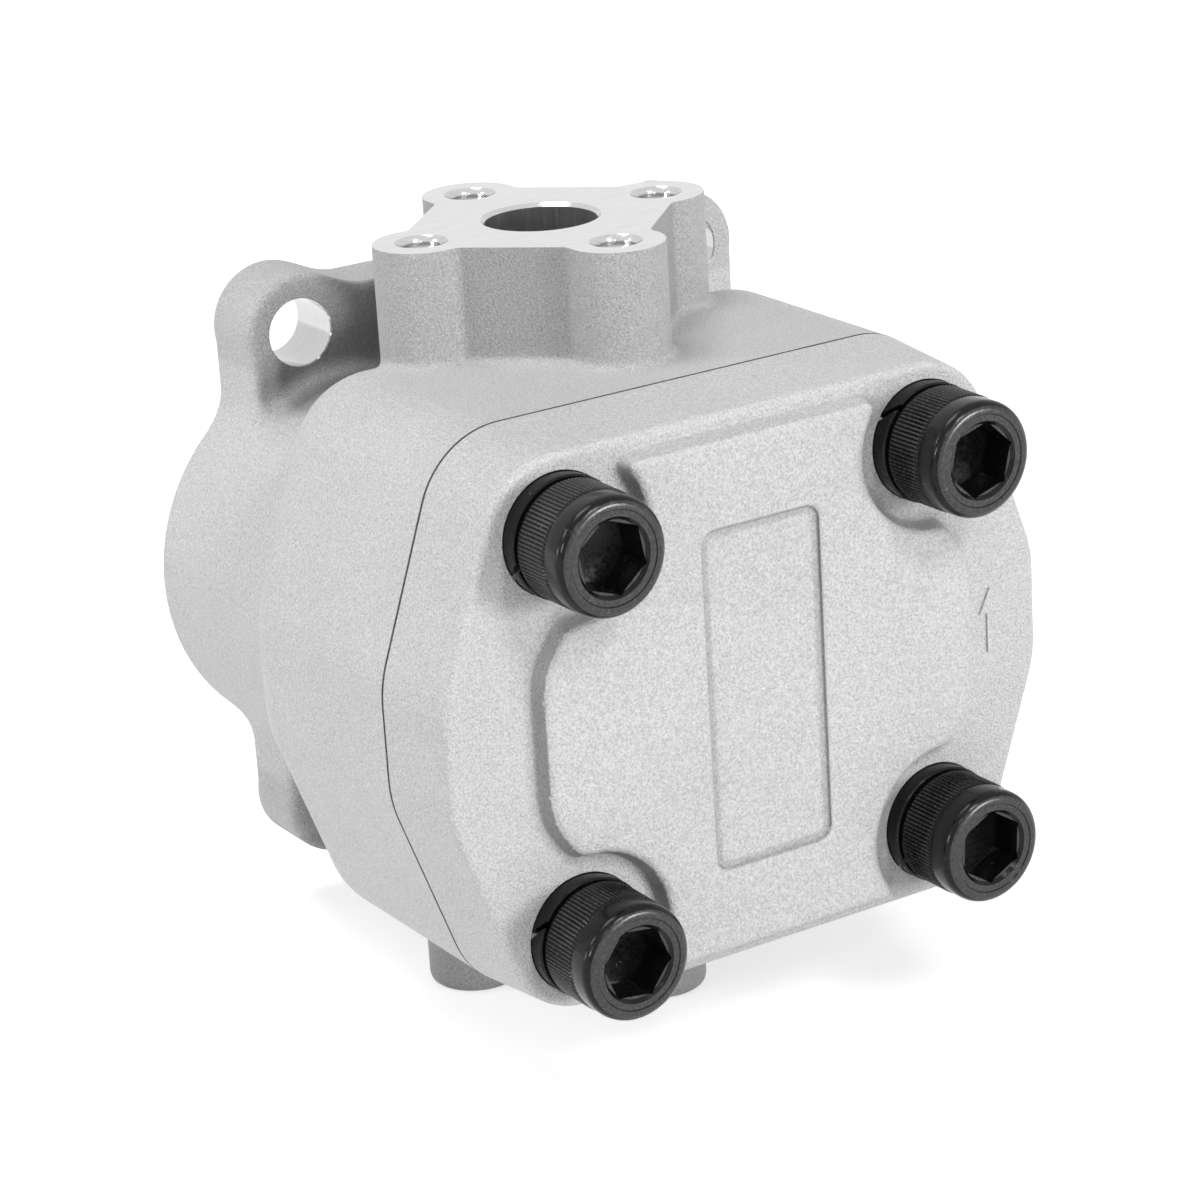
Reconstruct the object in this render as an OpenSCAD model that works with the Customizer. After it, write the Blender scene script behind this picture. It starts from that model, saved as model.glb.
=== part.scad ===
// External gear pump for truck and tractor hydraulics, with a cast aluminium body.
// Frame: the origin is on the drive shaft's axis in the plane of the mounting face.
// +Y leaves the pump along the drive shaft, -Y is the end cover, +Z is the upper port.
// The two gears lie side by side along X, and the driven gear is at negative X.

/* [Gears] */
// Module of the gear teeth
gear_module = 2.5; // [2.3:0.1:2.7]
// Number of teeth on each gear
gear_teeth = 11; // [10:1:12]
// Pressure angle of the involute flanks
pressure_angle = 24; // [22:1:26]
// Play between meshing flanks, measured at the pitch circle
backlash = 0.16; // [0.1:0.02:0.3]
// Radial gap between the tooth tips and the chamber wall
tip_gap = 0.05; // [0.03:0.01:0.1]
// Gap between each gear face and its bearing block
side_gap = 0.04; // [0.02:0.01:0.1]

/* [Shafts] */
// Diameter of the gear journals
journal_d = 18; // [16:0.5:18.5]
// Length of shaft beyond the mounting face
shaft_out = 36; // [30:1:45]
// Length of the splined end
spline_len = 27; // [18:1:28]
// Outside diameter of the spline
spline_d = 17; // [15:0.5:17.5]
// Number of spline teeth
spline_teeth = 9; // [7:1:12]
// Radial running gap between a journal and its bush
journal_gap = 0.03; // [0.02:0.01:0.08]

/* [Bearing blocks] */
// Length of each bearing block
block_len = 20; // [17:1:22]
// Wall of each bearing bush
bush_wall = 1.3; // [1:0.1:1.4]
// Depth of the pressure seal groove in the back of each block
seal_groove_depth = 2.4; // [2:0.2:3]

/* [Body] */
// Length of the body, from the mounting face to the cover joint
body_len = 86; // [80:1:90]
// Width of the housing and the cover
housing_w = 108; // [104:1:116]
// Height of the housing and the cover
housing_h = 87.4; // [84:0.2:94]
// Length of the wide part of the housing, from the cover joint
housing_len = 45; // [43:1:52]
// Radius of the rounded rear shoulder
shoulder_r = 10; // [5:1:12]
// Radius of the four corners seen from the cover
corner_r = 14; // [11:0.5:17]
// Distance of each corner's centre from the side
corner_in = 22.2; // [20:0.2:25]
// Radius that blends the side into its sloping flanks
side_r = 20; // [12:1:21]
// Half height of the upright part of the side
side_flat = 5.5; // [3:0.5:8]
// Radius of the rear barrel round each shaft
barrel_r = 32.5; // [30:0.5:34]
// Metal between the chamber and the mounting face
rear_wall = 12; // [10:0.5:14]

/* [Ports] */
// Diameter of the port bores
port_bore_d = 17.4; // [14:0.2:20]
// Depth of the port bores, down to the narrower passage into the chamber
port_bore_depth = 30; // [20:1:34]
// Diameter of that passage
port_neck_d = 15; // [11:0.5:16]
// Height of the upper port face above the shaft plane
port_top = 61.4; // [56:0.2:66]
// Depth of the lower port face under the shaft plane
port_bottom = 59.6; // [56:0.2:66]
// Diameter of the bolt circle in each port face
port_pcd = 42.3; // [40:0.1:46]
// Radius of each lobe round a port screw hole
port_lobe_r = 7.5; // [6.5:0.1:8.5]
// Distance of the flats between the lobes from the bore's axis
port_flat = 18.8; // [17:0.1:20]
// Core diameter of the threaded holes in the port faces
port_thread_d = 6.8; // [5:0.1:7]
// Depth of those threaded holes
port_thread_depth = 14; // [10:1:16]
// Chamfer at the mouth of those threaded holes
port_thread_chamfer = 0.7; // [0.4:0.1:1.4]

/* [Mounting flange] */
// Thickness of the flange
flange_t = 11.6; // [10:0.2:14]
// Spacing of the mounting holes across the pump
ear_span_x = 74.5; // [72:0.5:78]
// Spacing of the mounting holes up the pump
ear_span_z = 80.4; // [78:0.2:86]
// Diameter of the mounting holes
ear_hole_d = 11; // [9:0.5:13]
// Radius of each rounded ear
ear_r = 9.5; // [8.5:0.1:11]
// How far the flange's upper and lower edges lie inside the ears
ear_rise = 3.6; // [2:0.2:5]
// Diameter of the pilot
pilot_d = 60; // [56:1:66]
// Height of the pilot
pilot_h = 7; // [6:0.5:8]

/* [Cover] */
// Thickness of the cover under the screws
cover_t = 15; // [13:0.5:18]
// Height of the raised panel over the screw seats
panel_h = 3.8; // [2.5:0.1:5]
// Radius of the raised panel round each shaft
panel_r = 24.9; // [23:0.1:26]
// Half width of the raised panel's upright band
band_x = 21.6; // [19:0.2:23]
// Half height of the raised panel's upright band
band_z = 39.2; // [37:0.1:40]
// Draft of the raised panel's walls, as its spread at the foot
panel_draft = 0.8; // [0.4:0.1:1.2]
// Radius of the round relief beside each screw
relief_r = 13.3; // [12:0.1:14]
// Radius of the edge round the cover's front
cover_edge_r = 3; // [2:0.5:4]
// Width of the shallow panel recess
recess_w = 20.6; // [16:0.2:26]
// Height of the shallow panel recess
recess_h = 52.6; // [40:0.2:60]
// Depth of that recess
recess_depth = 0.6; // [0.3:0.1:1]

/* [Cover screws] */
// Screw spacing across the cover
screw_span_x = 64.1; // [62:0.1:67]
// Screw spacing up the cover
screw_span_z = 61.3; // [60:0.1:63]
// Thread diameter
screw_d = 12; // [10:1:12]
// Length under the head
screw_len = 45; // [40:1:48]
// Head diameter
head_d = 18; // [16:0.2:18.4]
// Head height
head_h = 12; // [10:0.5:13]
// Width across the flats of the hexagon socket
socket_af = 10; // [8:0.5:10]
// Depth of the hexagon socket
socket_depth = 6; // [4:0.5:7]
// Ridges of the straight knurl
knurl_count = 90; // [40:2:96]
// Depth of the straight knurl
knurl_depth = 0.24; // [0.15:0.01:0.3]
// Thickness of the spring lock washer
washer_t = 3; // [2:0.1:3.5]
// Outside diameter of the spring lock washer
washer_d = 18.4; // [17:0.1:19]

/* [Seals and pins] */
// Cord diameter of the cover seal
cord_d = 2; // [1.8:0.1:2.4]
// Radius of the cover seal's path round each gear
cord_track = 19.8; // [19.4:0.1:21]
// Outside diameter of the shaft seal
shaft_seal_d = 30; // [28:1:32]
// Width of the shaft seal
shaft_seal_w = 7; // [6:0.5:8]
// Thickness of the seal's retaining ring
circlip_t = 1.1; // [0.9:0.1:1.4]
// Cord diameter of the pilot's O-ring
pilot_cord_d = 2.2; // [1.8:0.1:2.4]
// Diameter of the two dowel pins
dowel_d = 8; // [6:0.5:8]
// Length of the dowel pins
dowel_len = 16; // [12:1:20]
// Distance of each dowel from the pump's middle
dowel_x = 43; // [41:0.5:44]

/* [Hidden] */
$fn = 72;

eps = 0.01;
fit = 0.01;
// gear sizes
pitch_r = gear_module * gear_teeth / 2;
centres = 2 * pitch_r;
base_r = pitch_r * cos(pressure_angle);
tip_r = pitch_r + gear_module;
root_r = centres - tip_r - 0.18 * gear_module;
chamber_r = tip_r + tip_gap;
block_r = chamber_r - 2 * fit;
mid_x = -centres / 2;
drive_x = 0;
driven_x = -centres;
// stations along the shaft
chamber_y1 = -rear_wall;
chamber_y0 = -body_len;
gear_width = body_len - rear_wall - 2 * block_len;
joint_y = chamber_y0;
port_y = (chamber_y0 + chamber_y1) / 2;
shoulder_y = joint_y + housing_len;
seat_y = joint_y - cover_t;
face_y = seat_y - 0.4;
panel_y = seat_y - panel_h;
washer_y = seat_y - washer_t;
head_y = washer_y - head_h;
// round parts
journal_r = journal_d / 2;
bush_r = journal_r + journal_gap;
bush_out_r = bush_r + bush_wall;
seal_in_r = bush_out_r + 0.9;
seal_out_r = chamber_r - 2.2;
groove_mid = seal_groove_depth * 0.58;
screw_r = screw_d / 2 - 0.05;
screw_hole_r = screw_d / 2 + 0.05;
screw_clear_r = screw_d / 2 + 0.6;
socket_r = socket_af / 2 / cos(30);
wall_hole_r = journal_r + 0.6;
ear_hole_r = ear_hole_d / 2;
port_bore_r = port_bore_d / 2;
port_neck_r = min(port_neck_d / 2, port_bore_r - 0.8);
port_thread_r = port_thread_d / 2;
seal_bore_r = shaft_seal_d / 2;
// where each lock washer's split came to rest, in degrees round its screw
split_upper_left = 205;
split_upper_right = 140;
split_lower_left = 160;
split_lower_right = 215;
seal_y1 = pilot_h - 3;
seal_y0 = seal_y1 - shaft_seal_w;
ring_gap = 0.05;
pilot_groove_w = pilot_cord_d + 0.3;
pilot_groove_y = pilot_h / 2 - 0.5;
half_w = housing_w / 2;
half_h = housing_h / 2;

// the outline of the housing and the cover, inset by d
function bearing(a, b) = atan2(b[1] - a[1], b[0] - a[0]);
function dist(a, b) = norm([b[0] - a[0], b[1] - a[1]]);
side_c = [half_w - side_r, side_flat];
corner_c = [half_w - corner_in, half_h - corner_r];
flank_a = bearing(side_c, corner_c) - acos((side_r - corner_r) / dist(side_c, corner_c));
function arc(c, r, a0, a1, n) =
  [for (i = [0:n]) let (a = a0 + (a1 - a0) * i / n) [c[0] + r * cos(a), c[1] + r * sin(a)]];
function quarter(d) = concat(
  arc(side_c, side_r - d, 0, flank_a, 4),
  arc(corner_c, corner_r - d, flank_a, 90, 10));
function flip_x(p) = [for (i = [len(p) - 1:-1:0]) [-p[i][0], p[i][1]]];
function flip_y(p) = [for (i = [len(p) - 1:-1:0]) [p[i][0], -p[i][1]]];
function upper(d) = concat(quarter(d), flip_x(quarter(d)));
function outline(d) = concat(upper(d), flip_y(upper(d)));

// a flat profile in X and Z, extruded along Y from y0 to y1
module slab(y0, y1) {
  translate([0, y1, 0])
    rotate([90, 0, 0])
      linear_extrude(height = y1 - y0)
        children();
}
// a straight cylinder along Y
module rod(x, z, y0, y1, r) {
  translate([x, y1, z])
    rotate([90, 0, 0])
      cylinder(h = y1 - y0, r = r);
}
// a cone along Y with radius r0 at y0 and r1 at y1
module taper(x, z, y0, y1, r0, r1) {
  translate([x, y1, z])
    rotate([90, 0, 0])
      cylinder(h = y1 - y0, r1 = r1, r2 = r0);
}
// a ring or a turned piece, whose profile points are [radius, y]
module turned(x, z) {
  translate([x, 0, z])
    rotate([-90, 0, 0])
      rotate_extrude()
        children();
}
module screw_places() {
  for (sx = [-1, 1])
    for (sz = [-1, 1])
      translate([mid_x + sx * screw_span_x / 2, 0, sz * screw_span_z / 2])
        children();
}

// one gear: involute flanks that end on the root circle
function inv(a) = tan(a) * 180 / PI - a;
function flank_half(r) =
  90 / gear_teeth + inv(pressure_angle) - backlash / 2 / pitch_r * 180 / PI / 2
  - inv(acos(min(1, base_r / max(r, base_r))));
flank_n = 7;
function flank_r(i) = i == 0 ? root_r
  : base_r + (tip_r - base_r) * pow((i - 1) / (flank_n - 1), 1.4);
function root_half() = flank_half(base_r) + 1.6;
function tooth_half(i) = i == 0 ? root_half() : flank_half(flank_r(i));
function polar(r, a) = [r * cos(a), r * sin(a)];
function tooth(a) = concat(
  [for (i = [0:flank_n]) polar(flank_r(i), a - tooth_half(i))],
  [for (i = [flank_n:-1:0]) polar(flank_r(i), a + tooth_half(i))]);
module gear_profile(turn) {
  polygon([for (k = [0:gear_teeth - 1]) each tooth(turn + k * 360 / gear_teeth)]);
}

// the figure-eight of the gear chamber
module eight(r) {
  translate([drive_x, 0]) circle(r = r);
  translate([driven_x, 0]) circle(r = r);
}
// a racetrack round both shafts
module racetrack(r) {
  eight(r);
  translate([driven_x, -r]) square([centres, 2 * r]);
}

// port boss seen along Z: four lobes on the corners of a square turned by 45 degrees
module port_plan(inset) {
  rotate(45) square(2 * (port_flat - inset), center = true);
  for (a = [0:90:270])
    rotate(a) translate([port_pcd / 2, 0]) circle(r = port_lobe_r - inset);
}
module port_boss() {
  foot = 24;
  translate([mid_x, port_y, foot])
    linear_extrude(height = port_top - foot)
      port_plan(0);
  translate([mid_x, port_y, -port_bottom])
    linear_extrude(height = port_bottom - foot)
      port_plan(0);
}
module port_cuts(s, face) {
  translate([mid_x, port_y, 0])
    mirror([0, 0, s < 0 ? 1 : 0]) {
      translate([0, 0, 6])
        cylinder(h = face - 6, r = port_neck_r);
      translate([0, 0, face - port_bore_depth])
        cylinder(h = port_bore_depth + eps, r = port_bore_r);
      translate([0, 0, face - 0.8])
        cylinder(h = 0.8 + eps, r1 = port_bore_r, r2 = port_bore_r + 0.8);
      for (a = [0:90:270])
        rotate(a)
          translate([port_pcd / 2, 0, face]) {
            translate([0, 0, -port_thread_depth])
              cylinder(h = port_thread_depth + eps, r = port_thread_r);
            translate([0, 0, -port_thread_depth - port_thread_r * 0.6])
              cylinder(h = port_thread_r * 0.6 + eps, r1 = 0.2, r2 = port_thread_r);
            translate([0, 0, -port_thread_chamfer])
              cylinder(h = port_thread_chamfer + eps, r1 = port_thread_r,
                       r2 = port_thread_r + port_thread_chamfer);
          }
    }
}

// a solid through rings of the outline; each ring is [y, inset], in rising y
module loft(rings) {
  n = len(outline(0));
  m = len(rings);
  polyhedron(
    points = [for (r = rings) for (p = outline(r[1])) [p[0], r[0], p[1]]],
    faces = concat(
      [[for (i = [n - 1:-1:0]) i]],
      [[for (i = [0:n - 1]) (m - 1) * n + i]],
      [for (k = [0:m - 2]) for (i = [0:n - 1]) let (j = (i + 1) % n)
        [k * n + i, k * n + j, (k + 1) * n + j, (k + 1) * n + i]]),
    convexity = 4);
}
// the wide part of the housing, with its rounded rear shoulder
module housing_block() {
  r = min(shoulder_r, corner_r - 1);
  translate([mid_x, 0, 0])
    loft(concat([[joint_y, 0]],
      [for (a = [0:15:90]) [shoulder_y - r * (1 - sin(a)), r * (1 - cos(a))]]));
}
module flange_plan() {
  square([ear_span_x + 2 * ear_r - 0.4, ear_span_z], center = true);
  square([ear_span_x, ear_span_z + 2 * (ear_r - ear_rise)], center = true);
  for (sx = [-1, 1])
    for (sz = [-1, 1])
      translate([sx * ear_span_x / 2, sz * ear_span_z / 2])
        circle(r = ear_r);
}
module seal_groove(grow) {
  // racetrack groove in the joint face
  difference() {
    racetrack(cord_track + cord_d / 2 + grow);
    racetrack(cord_track - cord_d / 2 - grow);
  }
}
module pump_body() {
  color([0.80, 0.81, 0.82])
    difference() {
      union() {
        housing_block();
        slab(shoulder_y - shoulder_r - 4, 0) racetrack(barrel_r);
        slab(-flange_t, 0) flange_plan();
        port_boss();
        rod(drive_x, 0, -eps, pilot_h, pilot_d / 2);
      }
      slab(chamber_y0 - 1, chamber_y1) eight(chamber_r);
      port_cuts(1, port_top);
      port_cuts(-1, port_bottom);
      slab(joint_y - 1, joint_y + cord_d + 0.02) seal_groove(0.25);
      screw_places() {
        rod(0, 0, joint_y - 1, washer_y + screw_len + 3, screw_hole_r);
        taper(0, 0, washer_y + screw_len + 3 - eps, washer_y + screw_len + 6, screw_hole_r, 0.4);
        taper(0, 0, joint_y - eps, joint_y + 1, screw_hole_r + 1, screw_hole_r);
      }
      for (sx = [-1, 1])
        rod(mid_x + sx * dowel_x, 0, joint_y - 1, joint_y + dowel_len / 2 + 0.5, dowel_d / 2 + fit);
      for (sx = [-1, 1])
        for (sz = [-1, 1])
          rod(sx * ear_span_x / 2, sz * ear_span_z / 2, -flange_t - 1, 1, ear_hole_r);
      rod(drive_x, 0, chamber_y1 - 1, pilot_h + 1, wall_hole_r);
      rod(drive_x, 0, seal_y0, pilot_h + 1, seal_bore_r);
      taper(drive_x, 0, pilot_h - 0.8, pilot_h + eps, seal_bore_r, seal_bore_r + 0.8);
      turned(drive_x, 0)
        translate([seal_bore_r - 1, seal_y1])
          square([1.9, circlip_t + 0.15]);
      turned(drive_x, 0)
        translate([pilot_d / 2 - pilot_cord_d - 0.1, pilot_groove_y - pilot_groove_w / 2])
          square([pilot_cord_d + 1, pilot_groove_w]);
      turned(drive_x, 0)
        polygon([[pilot_d / 2 - 1, pilot_h + eps], [pilot_d / 2 + 1, pilot_h + eps],
                 [pilot_d / 2 + 1, pilot_h - 2]]);
    }
}

// the raised panel with its four round reliefs
module raised_panel() {
  difference() {
    union() {
      for (x = [-1, 1])
        taper(x * centres / 2, 0, panel_y, face_y + 1, panel_r, panel_r + panel_draft);
      slab(panel_y, face_y + 1) square([centres, 1.7 * panel_r], center = true);
      hull() {
        slab(panel_y, panel_y + 0.02) square([2 * band_x, 2 * band_z], center = true);
        slab(face_y + 1, face_y + 1.02)
          square([2 * (band_x + panel_draft), 2 * (band_z + panel_draft)], center = true);
      }
    }
    for (sx = [-1, 1])
      for (sz = [-1, 1])
        taper(sx * screw_span_x / 2, sz * screw_span_z / 2, panel_y - eps, face_y + eps,
              relief_r, relief_r - panel_draft);
  }
}
module recess_plan() {
  r = 2;
  square([recess_w - 2 * r, recess_h], center = true);
  square([recess_w, recess_h - 2 * r], center = true);
  for (sx = [-1, 1])
    for (sz = [-1, 1])
      translate([sx * (recess_w / 2 - r), sz * (recess_h / 2 - r)])
        circle(r = r);
}
module arrow_plan() {
  // up arrow for the direction of flow, beside the panel
  polygon([[-0.6, -5.2], [0.6, -5.2], [0.6, 1.2], [2, 1.2], [0, 5.2], [-2, 1.2], [-0.6, 1.2]]);
}
module end_cover() {
  color([0.82, 0.83, 0.84])
    difference() {
      translate([mid_x, 0, 0])
        union() {
          loft(concat(
            [for (a = [90:-22.5:0])
              [face_y + cover_edge_r * (1 - sin(a)), cover_edge_r * (1 - cos(a))]],
            [[joint_y, 0]]));
          raised_panel();
          slab(face_y - 0.35, face_y + 0.5)
            translate([(half_w + centres / 2 + panel_r) / 2 - 1.5, -0.6]) arrow_plan();
        }
      translate([mid_x, 0, 0]) {
        slab(panel_y - 1, panel_y + recess_depth) recess_plan();
      }
      screw_places() {
        rod(0, 0, panel_y - 1, seat_y, washer_d / 2 + 1.9);
        rod(0, 0, seat_y - 1, joint_y + 1, screw_clear_r);
      }
      for (sx = [-1, 1])
        rod(mid_x + sx * dowel_x, 0, joint_y - dowel_len / 2 - 0.5, joint_y + 1, dowel_d / 2 + fit);
    }
}

// cap screw with a knurled head and a hexagon socket
function knurl_pts() = [for (i = [0:2 * knurl_count - 1])
  polar(i % 2 == 0 ? head_d / 2 : head_d / 2 - knurl_depth, i * 180 / knurl_count)];
module cover_screw() {
  color([0.13, 0.13, 0.14])
    difference() {
      union() {
        turned(0, 0)
          polygon(concat(
            [[0, washer_y], [head_d / 2 - 0.9, washer_y], [head_d / 2 - 0.25, washer_y - 0.65],
             [head_d / 2 - 0.25, head_y + 2.2]],
            [for (a = [0:15:90]) [head_d / 2 - 1.45 + 1.2 * cos(a), head_y + 2.2 - 2.2 * sin(a)]],
            [[0, head_y]]));
        slab(head_y + head_h * 0.36, washer_y - 0.7) polygon(knurl_pts());
        turned(0, 0)
          polygon([[0, washer_y - 1], [screw_r, washer_y - 1], [screw_r, washer_y + screw_len - 1.2],
                   [screw_r - 1.2, washer_y + screw_len], [0, washer_y + screw_len]]);
      }
      translate([0, head_y + socket_depth, 0])
        rotate([90, 0, 0])
          rotate(30)
            cylinder(h = socket_depth + 1, r = socket_r, $fn = 6);
      taper(0, 0, head_y - eps, head_y + 0.5, socket_r + 0.35, socket_r - 0.15);
      taper(0, 0, head_y + socket_depth - eps, head_y + socket_depth + 1.2,
            socket_af / 2 - 0.3, 0.5);
    }
}
module cover_screw_at(sx, sz) {
  translate([mid_x + sx * screw_span_x / 2, 0, sz * screw_span_z / 2])
    cover_screw();
}
module cover_screw_upper_left() { cover_screw_at(-1, 1); }
module cover_screw_upper_right() { cover_screw_at(1, 1); }
module cover_screw_lower_left() { cover_screw_at(-1, -1); }
module cover_screw_lower_right() { cover_screw_at(1, -1); }

// spring lock washer, pressed flat, with its slanting split
module lock_washer(split) {
  color([0.11, 0.11, 0.12])
    difference() {
      rod(0, 0, washer_y, seat_y, washer_d / 2);
      rod(0, 0, washer_y - 1, seat_y + 1, screw_d / 2 + 0.2);
      rotate([0, split, 0])
        translate([washer_d / 2, seat_y - washer_t / 2, 0])
          rotate([20, 0, 0])
            cube([washer_d, washer_t * 3, 0.8], center = true);
    }
}
module lock_washer_at(sx, sz, split) {
  translate([mid_x + sx * screw_span_x / 2, 0, sz * screw_span_z / 2])
    lock_washer(split);
}
module lock_washer_upper_left() { lock_washer_at(-1, 1, split_upper_left); }
module lock_washer_upper_right() { lock_washer_at(1, 1, split_upper_right); }
module lock_washer_lower_left() { lock_washer_at(-1, -1, split_lower_left); }
module lock_washer_lower_right() { lock_washer_at(1, -1, split_lower_right); }

// gears, each in one piece with its shaft
gear_y0 = chamber_y0 + block_len + side_gap;
gear_y1 = gear_y0 + gear_width - 2 * side_gap;
module spline_plan() {
  step = 360 / spline_teeth;
  r1 = spline_d / 2;
  r0 = r1 - 1.6;
  polygon([for (k = [0:spline_teeth - 1], c = [[r0, -0.36], [r1, -0.2], [r1, 0.2], [r0, 0.36]])
    polar(c[0], (k + c[1]) * step)]);
}
module drive_gear_shaft() {
  spline_y = shaft_out - spline_len;
  color([0.62, 0.63, 0.66])
    difference() {
      union() {
        translate([drive_x, 0, 0]) slab(gear_y0, gear_y1) gear_profile(180);
        turned(drive_x, 0)
          polygon([[0, chamber_y0 + 0.5], [journal_r - 0.8, chamber_y0 + 0.5],
                   [journal_r, chamber_y0 + 1.3], [journal_r, spline_y - 0.8],
                   [journal_r - 0.8, spline_y], [0, spline_y]]);
        intersection() {
          translate([drive_x, 0, 0]) slab(spline_y - 1, shaft_out) spline_plan();
          turned(drive_x, 0)
            polygon([[0, spline_y - 1], [journal_r, spline_y - 1], [journal_r, shaft_out - 1.4],
                     [spline_d / 2 - 1.4, shaft_out], [0, shaft_out]]);
        }
      }
      taper(drive_x, 0, shaft_out - 2.5, shaft_out + eps, 0.6, 3.1);
      taper(drive_x, 0, chamber_y0, chamber_y0 + 2.5, 3.1, 0.6);
    }
}
module driven_gear_shaft() {
  color([0.60, 0.61, 0.64])
    difference() {
      union() {
        translate([driven_x, 0, 0]) slab(gear_y0, gear_y1) gear_profile(180 / gear_teeth);
        turned(driven_x, 0)
          polygon([[0, chamber_y0 + 0.5], [journal_r - 0.8, chamber_y0 + 0.5],
                   [journal_r, chamber_y0 + 1.3], [journal_r, chamber_y1 - 1.3],
                   [journal_r - 0.8, chamber_y1 - 0.5], [0, chamber_y1 - 0.5]]);
      }
      taper(driven_x, 0, chamber_y0, chamber_y0 + 2.5, 3.1, 0.6);
      taper(driven_x, 0, chamber_y1 - 2.5, chamber_y1, 0.6, 3.1);
    }
}

// three-shaped path of the pressure seal in the back of a bearing block
module seal_plan(grow) {
  difference() {
    eight(seal_out_r + grow);
    eight(seal_in_r - grow);
    for (x = [drive_x, driven_x])
      translate([x, 0])
        polygon([[0, 0], [-30 * (1 + 0.02 * grow), -30], [30 * (1 + 0.02 * grow), -30]]);
  }
}
// back is the block's closed end, face its end at the gears
module bearing_block(back, face) {
  s = back < face ? 1 : -1;
  y0 = min(back, face);
  y1 = max(back, face);
  relief = 1.5;
  color([0.74, 0.75, 0.77])
    difference() {
      slab(y0, y1) eight(block_r);
      for (x = [drive_x, driven_x])
        rod(x, 0, y0 - 1, y1 + 1, bush_out_r + fit);
      if (s > 0)
        slab(back - 1, back + seal_groove_depth) seal_plan(0.02);
      else
        slab(back - seal_groove_depth, back + 1) seal_plan(0.02);
      // pockets that let the trapped oil out of the mesh
      for (sz = [-1, 1])
        translate([mid_x, face, sz * 5.2])
          cube([5, 2 * relief, 3], center = true);
    }
}
module cover_end_bearing_block() { bearing_block(chamber_y0, chamber_y0 + block_len); }
module flange_end_bearing_block() { bearing_block(chamber_y1, chamber_y1 - block_len); }
module bush(x, y0, y1) {
  color([0.66, 0.50, 0.28])
    difference() {
      rod(x, 0, y0, y1, bush_out_r);
      rod(x, 0, y0 - 1, y1 + 1, bush_r);
    }
}
module cover_end_drive_bush() { bush(drive_x, chamber_y0 + 0.3, chamber_y0 + block_len - 0.3); }
module cover_end_driven_bush() { bush(driven_x, chamber_y0 + 0.3, chamber_y0 + block_len - 0.3); }
module flange_end_drive_bush() { bush(drive_x, chamber_y1 - block_len + 0.3, chamber_y1 - 0.3); }
module flange_end_driven_bush() { bush(driven_x, chamber_y1 - block_len + 0.3, chamber_y1 - 0.3); }
module cover_end_pressure_seal() {
  color([0.10, 0.10, 0.10])
    slab(chamber_y0, chamber_y0 + groove_mid) seal_plan(0);
}
module cover_end_backup_ring() {
  color([0.86, 0.86, 0.82])
    slab(chamber_y0 + groove_mid, chamber_y0 + seal_groove_depth) seal_plan(0);
}
module flange_end_pressure_seal() {
  color([0.10, 0.10, 0.10])
    slab(chamber_y1 - groove_mid, chamber_y1) seal_plan(0);
}
module flange_end_backup_ring() {
  color([0.86, 0.86, 0.82])
    slab(chamber_y1 - seal_groove_depth, chamber_y1 - groove_mid) seal_plan(0);
}

// round cord in the racetrack groove between body and cover
module cover_seal() {
  r = cord_d / 2;
  color([0.07, 0.07, 0.07])
    translate([0, joint_y + r, 0]) {
      for (s = [-1, 1])
        translate([s > 0 ? drive_x : driven_x, 0, 0])
          rotate([-90, s > 0 ? -90 : 90, 0])
            rotate_extrude(angle = 180)
              translate([cord_track, 0])
                circle(r = r, $fn = 24);
      for (s = [-1, 1])
        translate([driven_x, 0, s * cord_track])
          rotate([0, 90, 0])
            cylinder(h = centres, r = r, $fn = 24);
    }
}
module dowel(sx) {
  color([0.70, 0.71, 0.73])
    turned(mid_x + sx * dowel_x, 0)
      polygon([[0, joint_y - dowel_len / 2], [dowel_d / 2 - 0.8, joint_y - dowel_len / 2],
               [dowel_d / 2, joint_y - dowel_len / 2 + 0.8],
               [dowel_d / 2, joint_y + dowel_len / 2 - 0.8],
               [dowel_d / 2 - 0.8, joint_y + dowel_len / 2], [0, joint_y + dowel_len / 2]]);
}
module dowel_pin_left() { dowel(-1); }
module dowel_pin_right() { dowel(1); }

// shaft seal: steel case, rubber lip and garter spring
case_w = 1;
lip_r = journal_r + 0.05;
sleeve_r = lip_r + 1.3;
spring_r = 0.55;
module shaft_seal_case() {
  color([0.45, 0.46, 0.48])
    turned(drive_x, 0)
      polygon([[seal_bore_r - fit - case_w, seal_y0 + 0.3], [seal_bore_r - fit, seal_y0 + 0.3],
               [seal_bore_r - fit, seal_y1], [sleeve_r, seal_y1], [sleeve_r, seal_y1 - case_w],
               [seal_bore_r - fit - case_w, seal_y1 - case_w]]);
}
module shaft_seal_lip() {
  top = seal_y1 - case_w;
  low = seal_y0 + 0.4;
  color([0.16, 0.10, 0.08])
    turned(drive_x, 0)
      polygon([[sleeve_r + 1, low], [sleeve_r - 0.5, low], [lip_r, low + 1.4],
               [sleeve_r - 0.3, low + 2.4], [sleeve_r - 0.3, top],
               [seal_bore_r - case_w - 2 * fit, top], [seal_bore_r - case_w - 2 * fit, top - 1],
               [sleeve_r + 0.8, top - 1], [sleeve_r + 0.8, low + 2.5], [sleeve_r + 0.35, low + 1.9],
               [sleeve_r + 0.35, low + 0.9]]);
}
module garter_spring() {
  color([0.66, 0.67, 0.70])
    turned(drive_x, 0)
      translate([sleeve_r + 0.4 + spring_r, seal_y0 + 0.4 + 1.6])
        circle(r = spring_r, $fn = 24);
}
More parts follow.
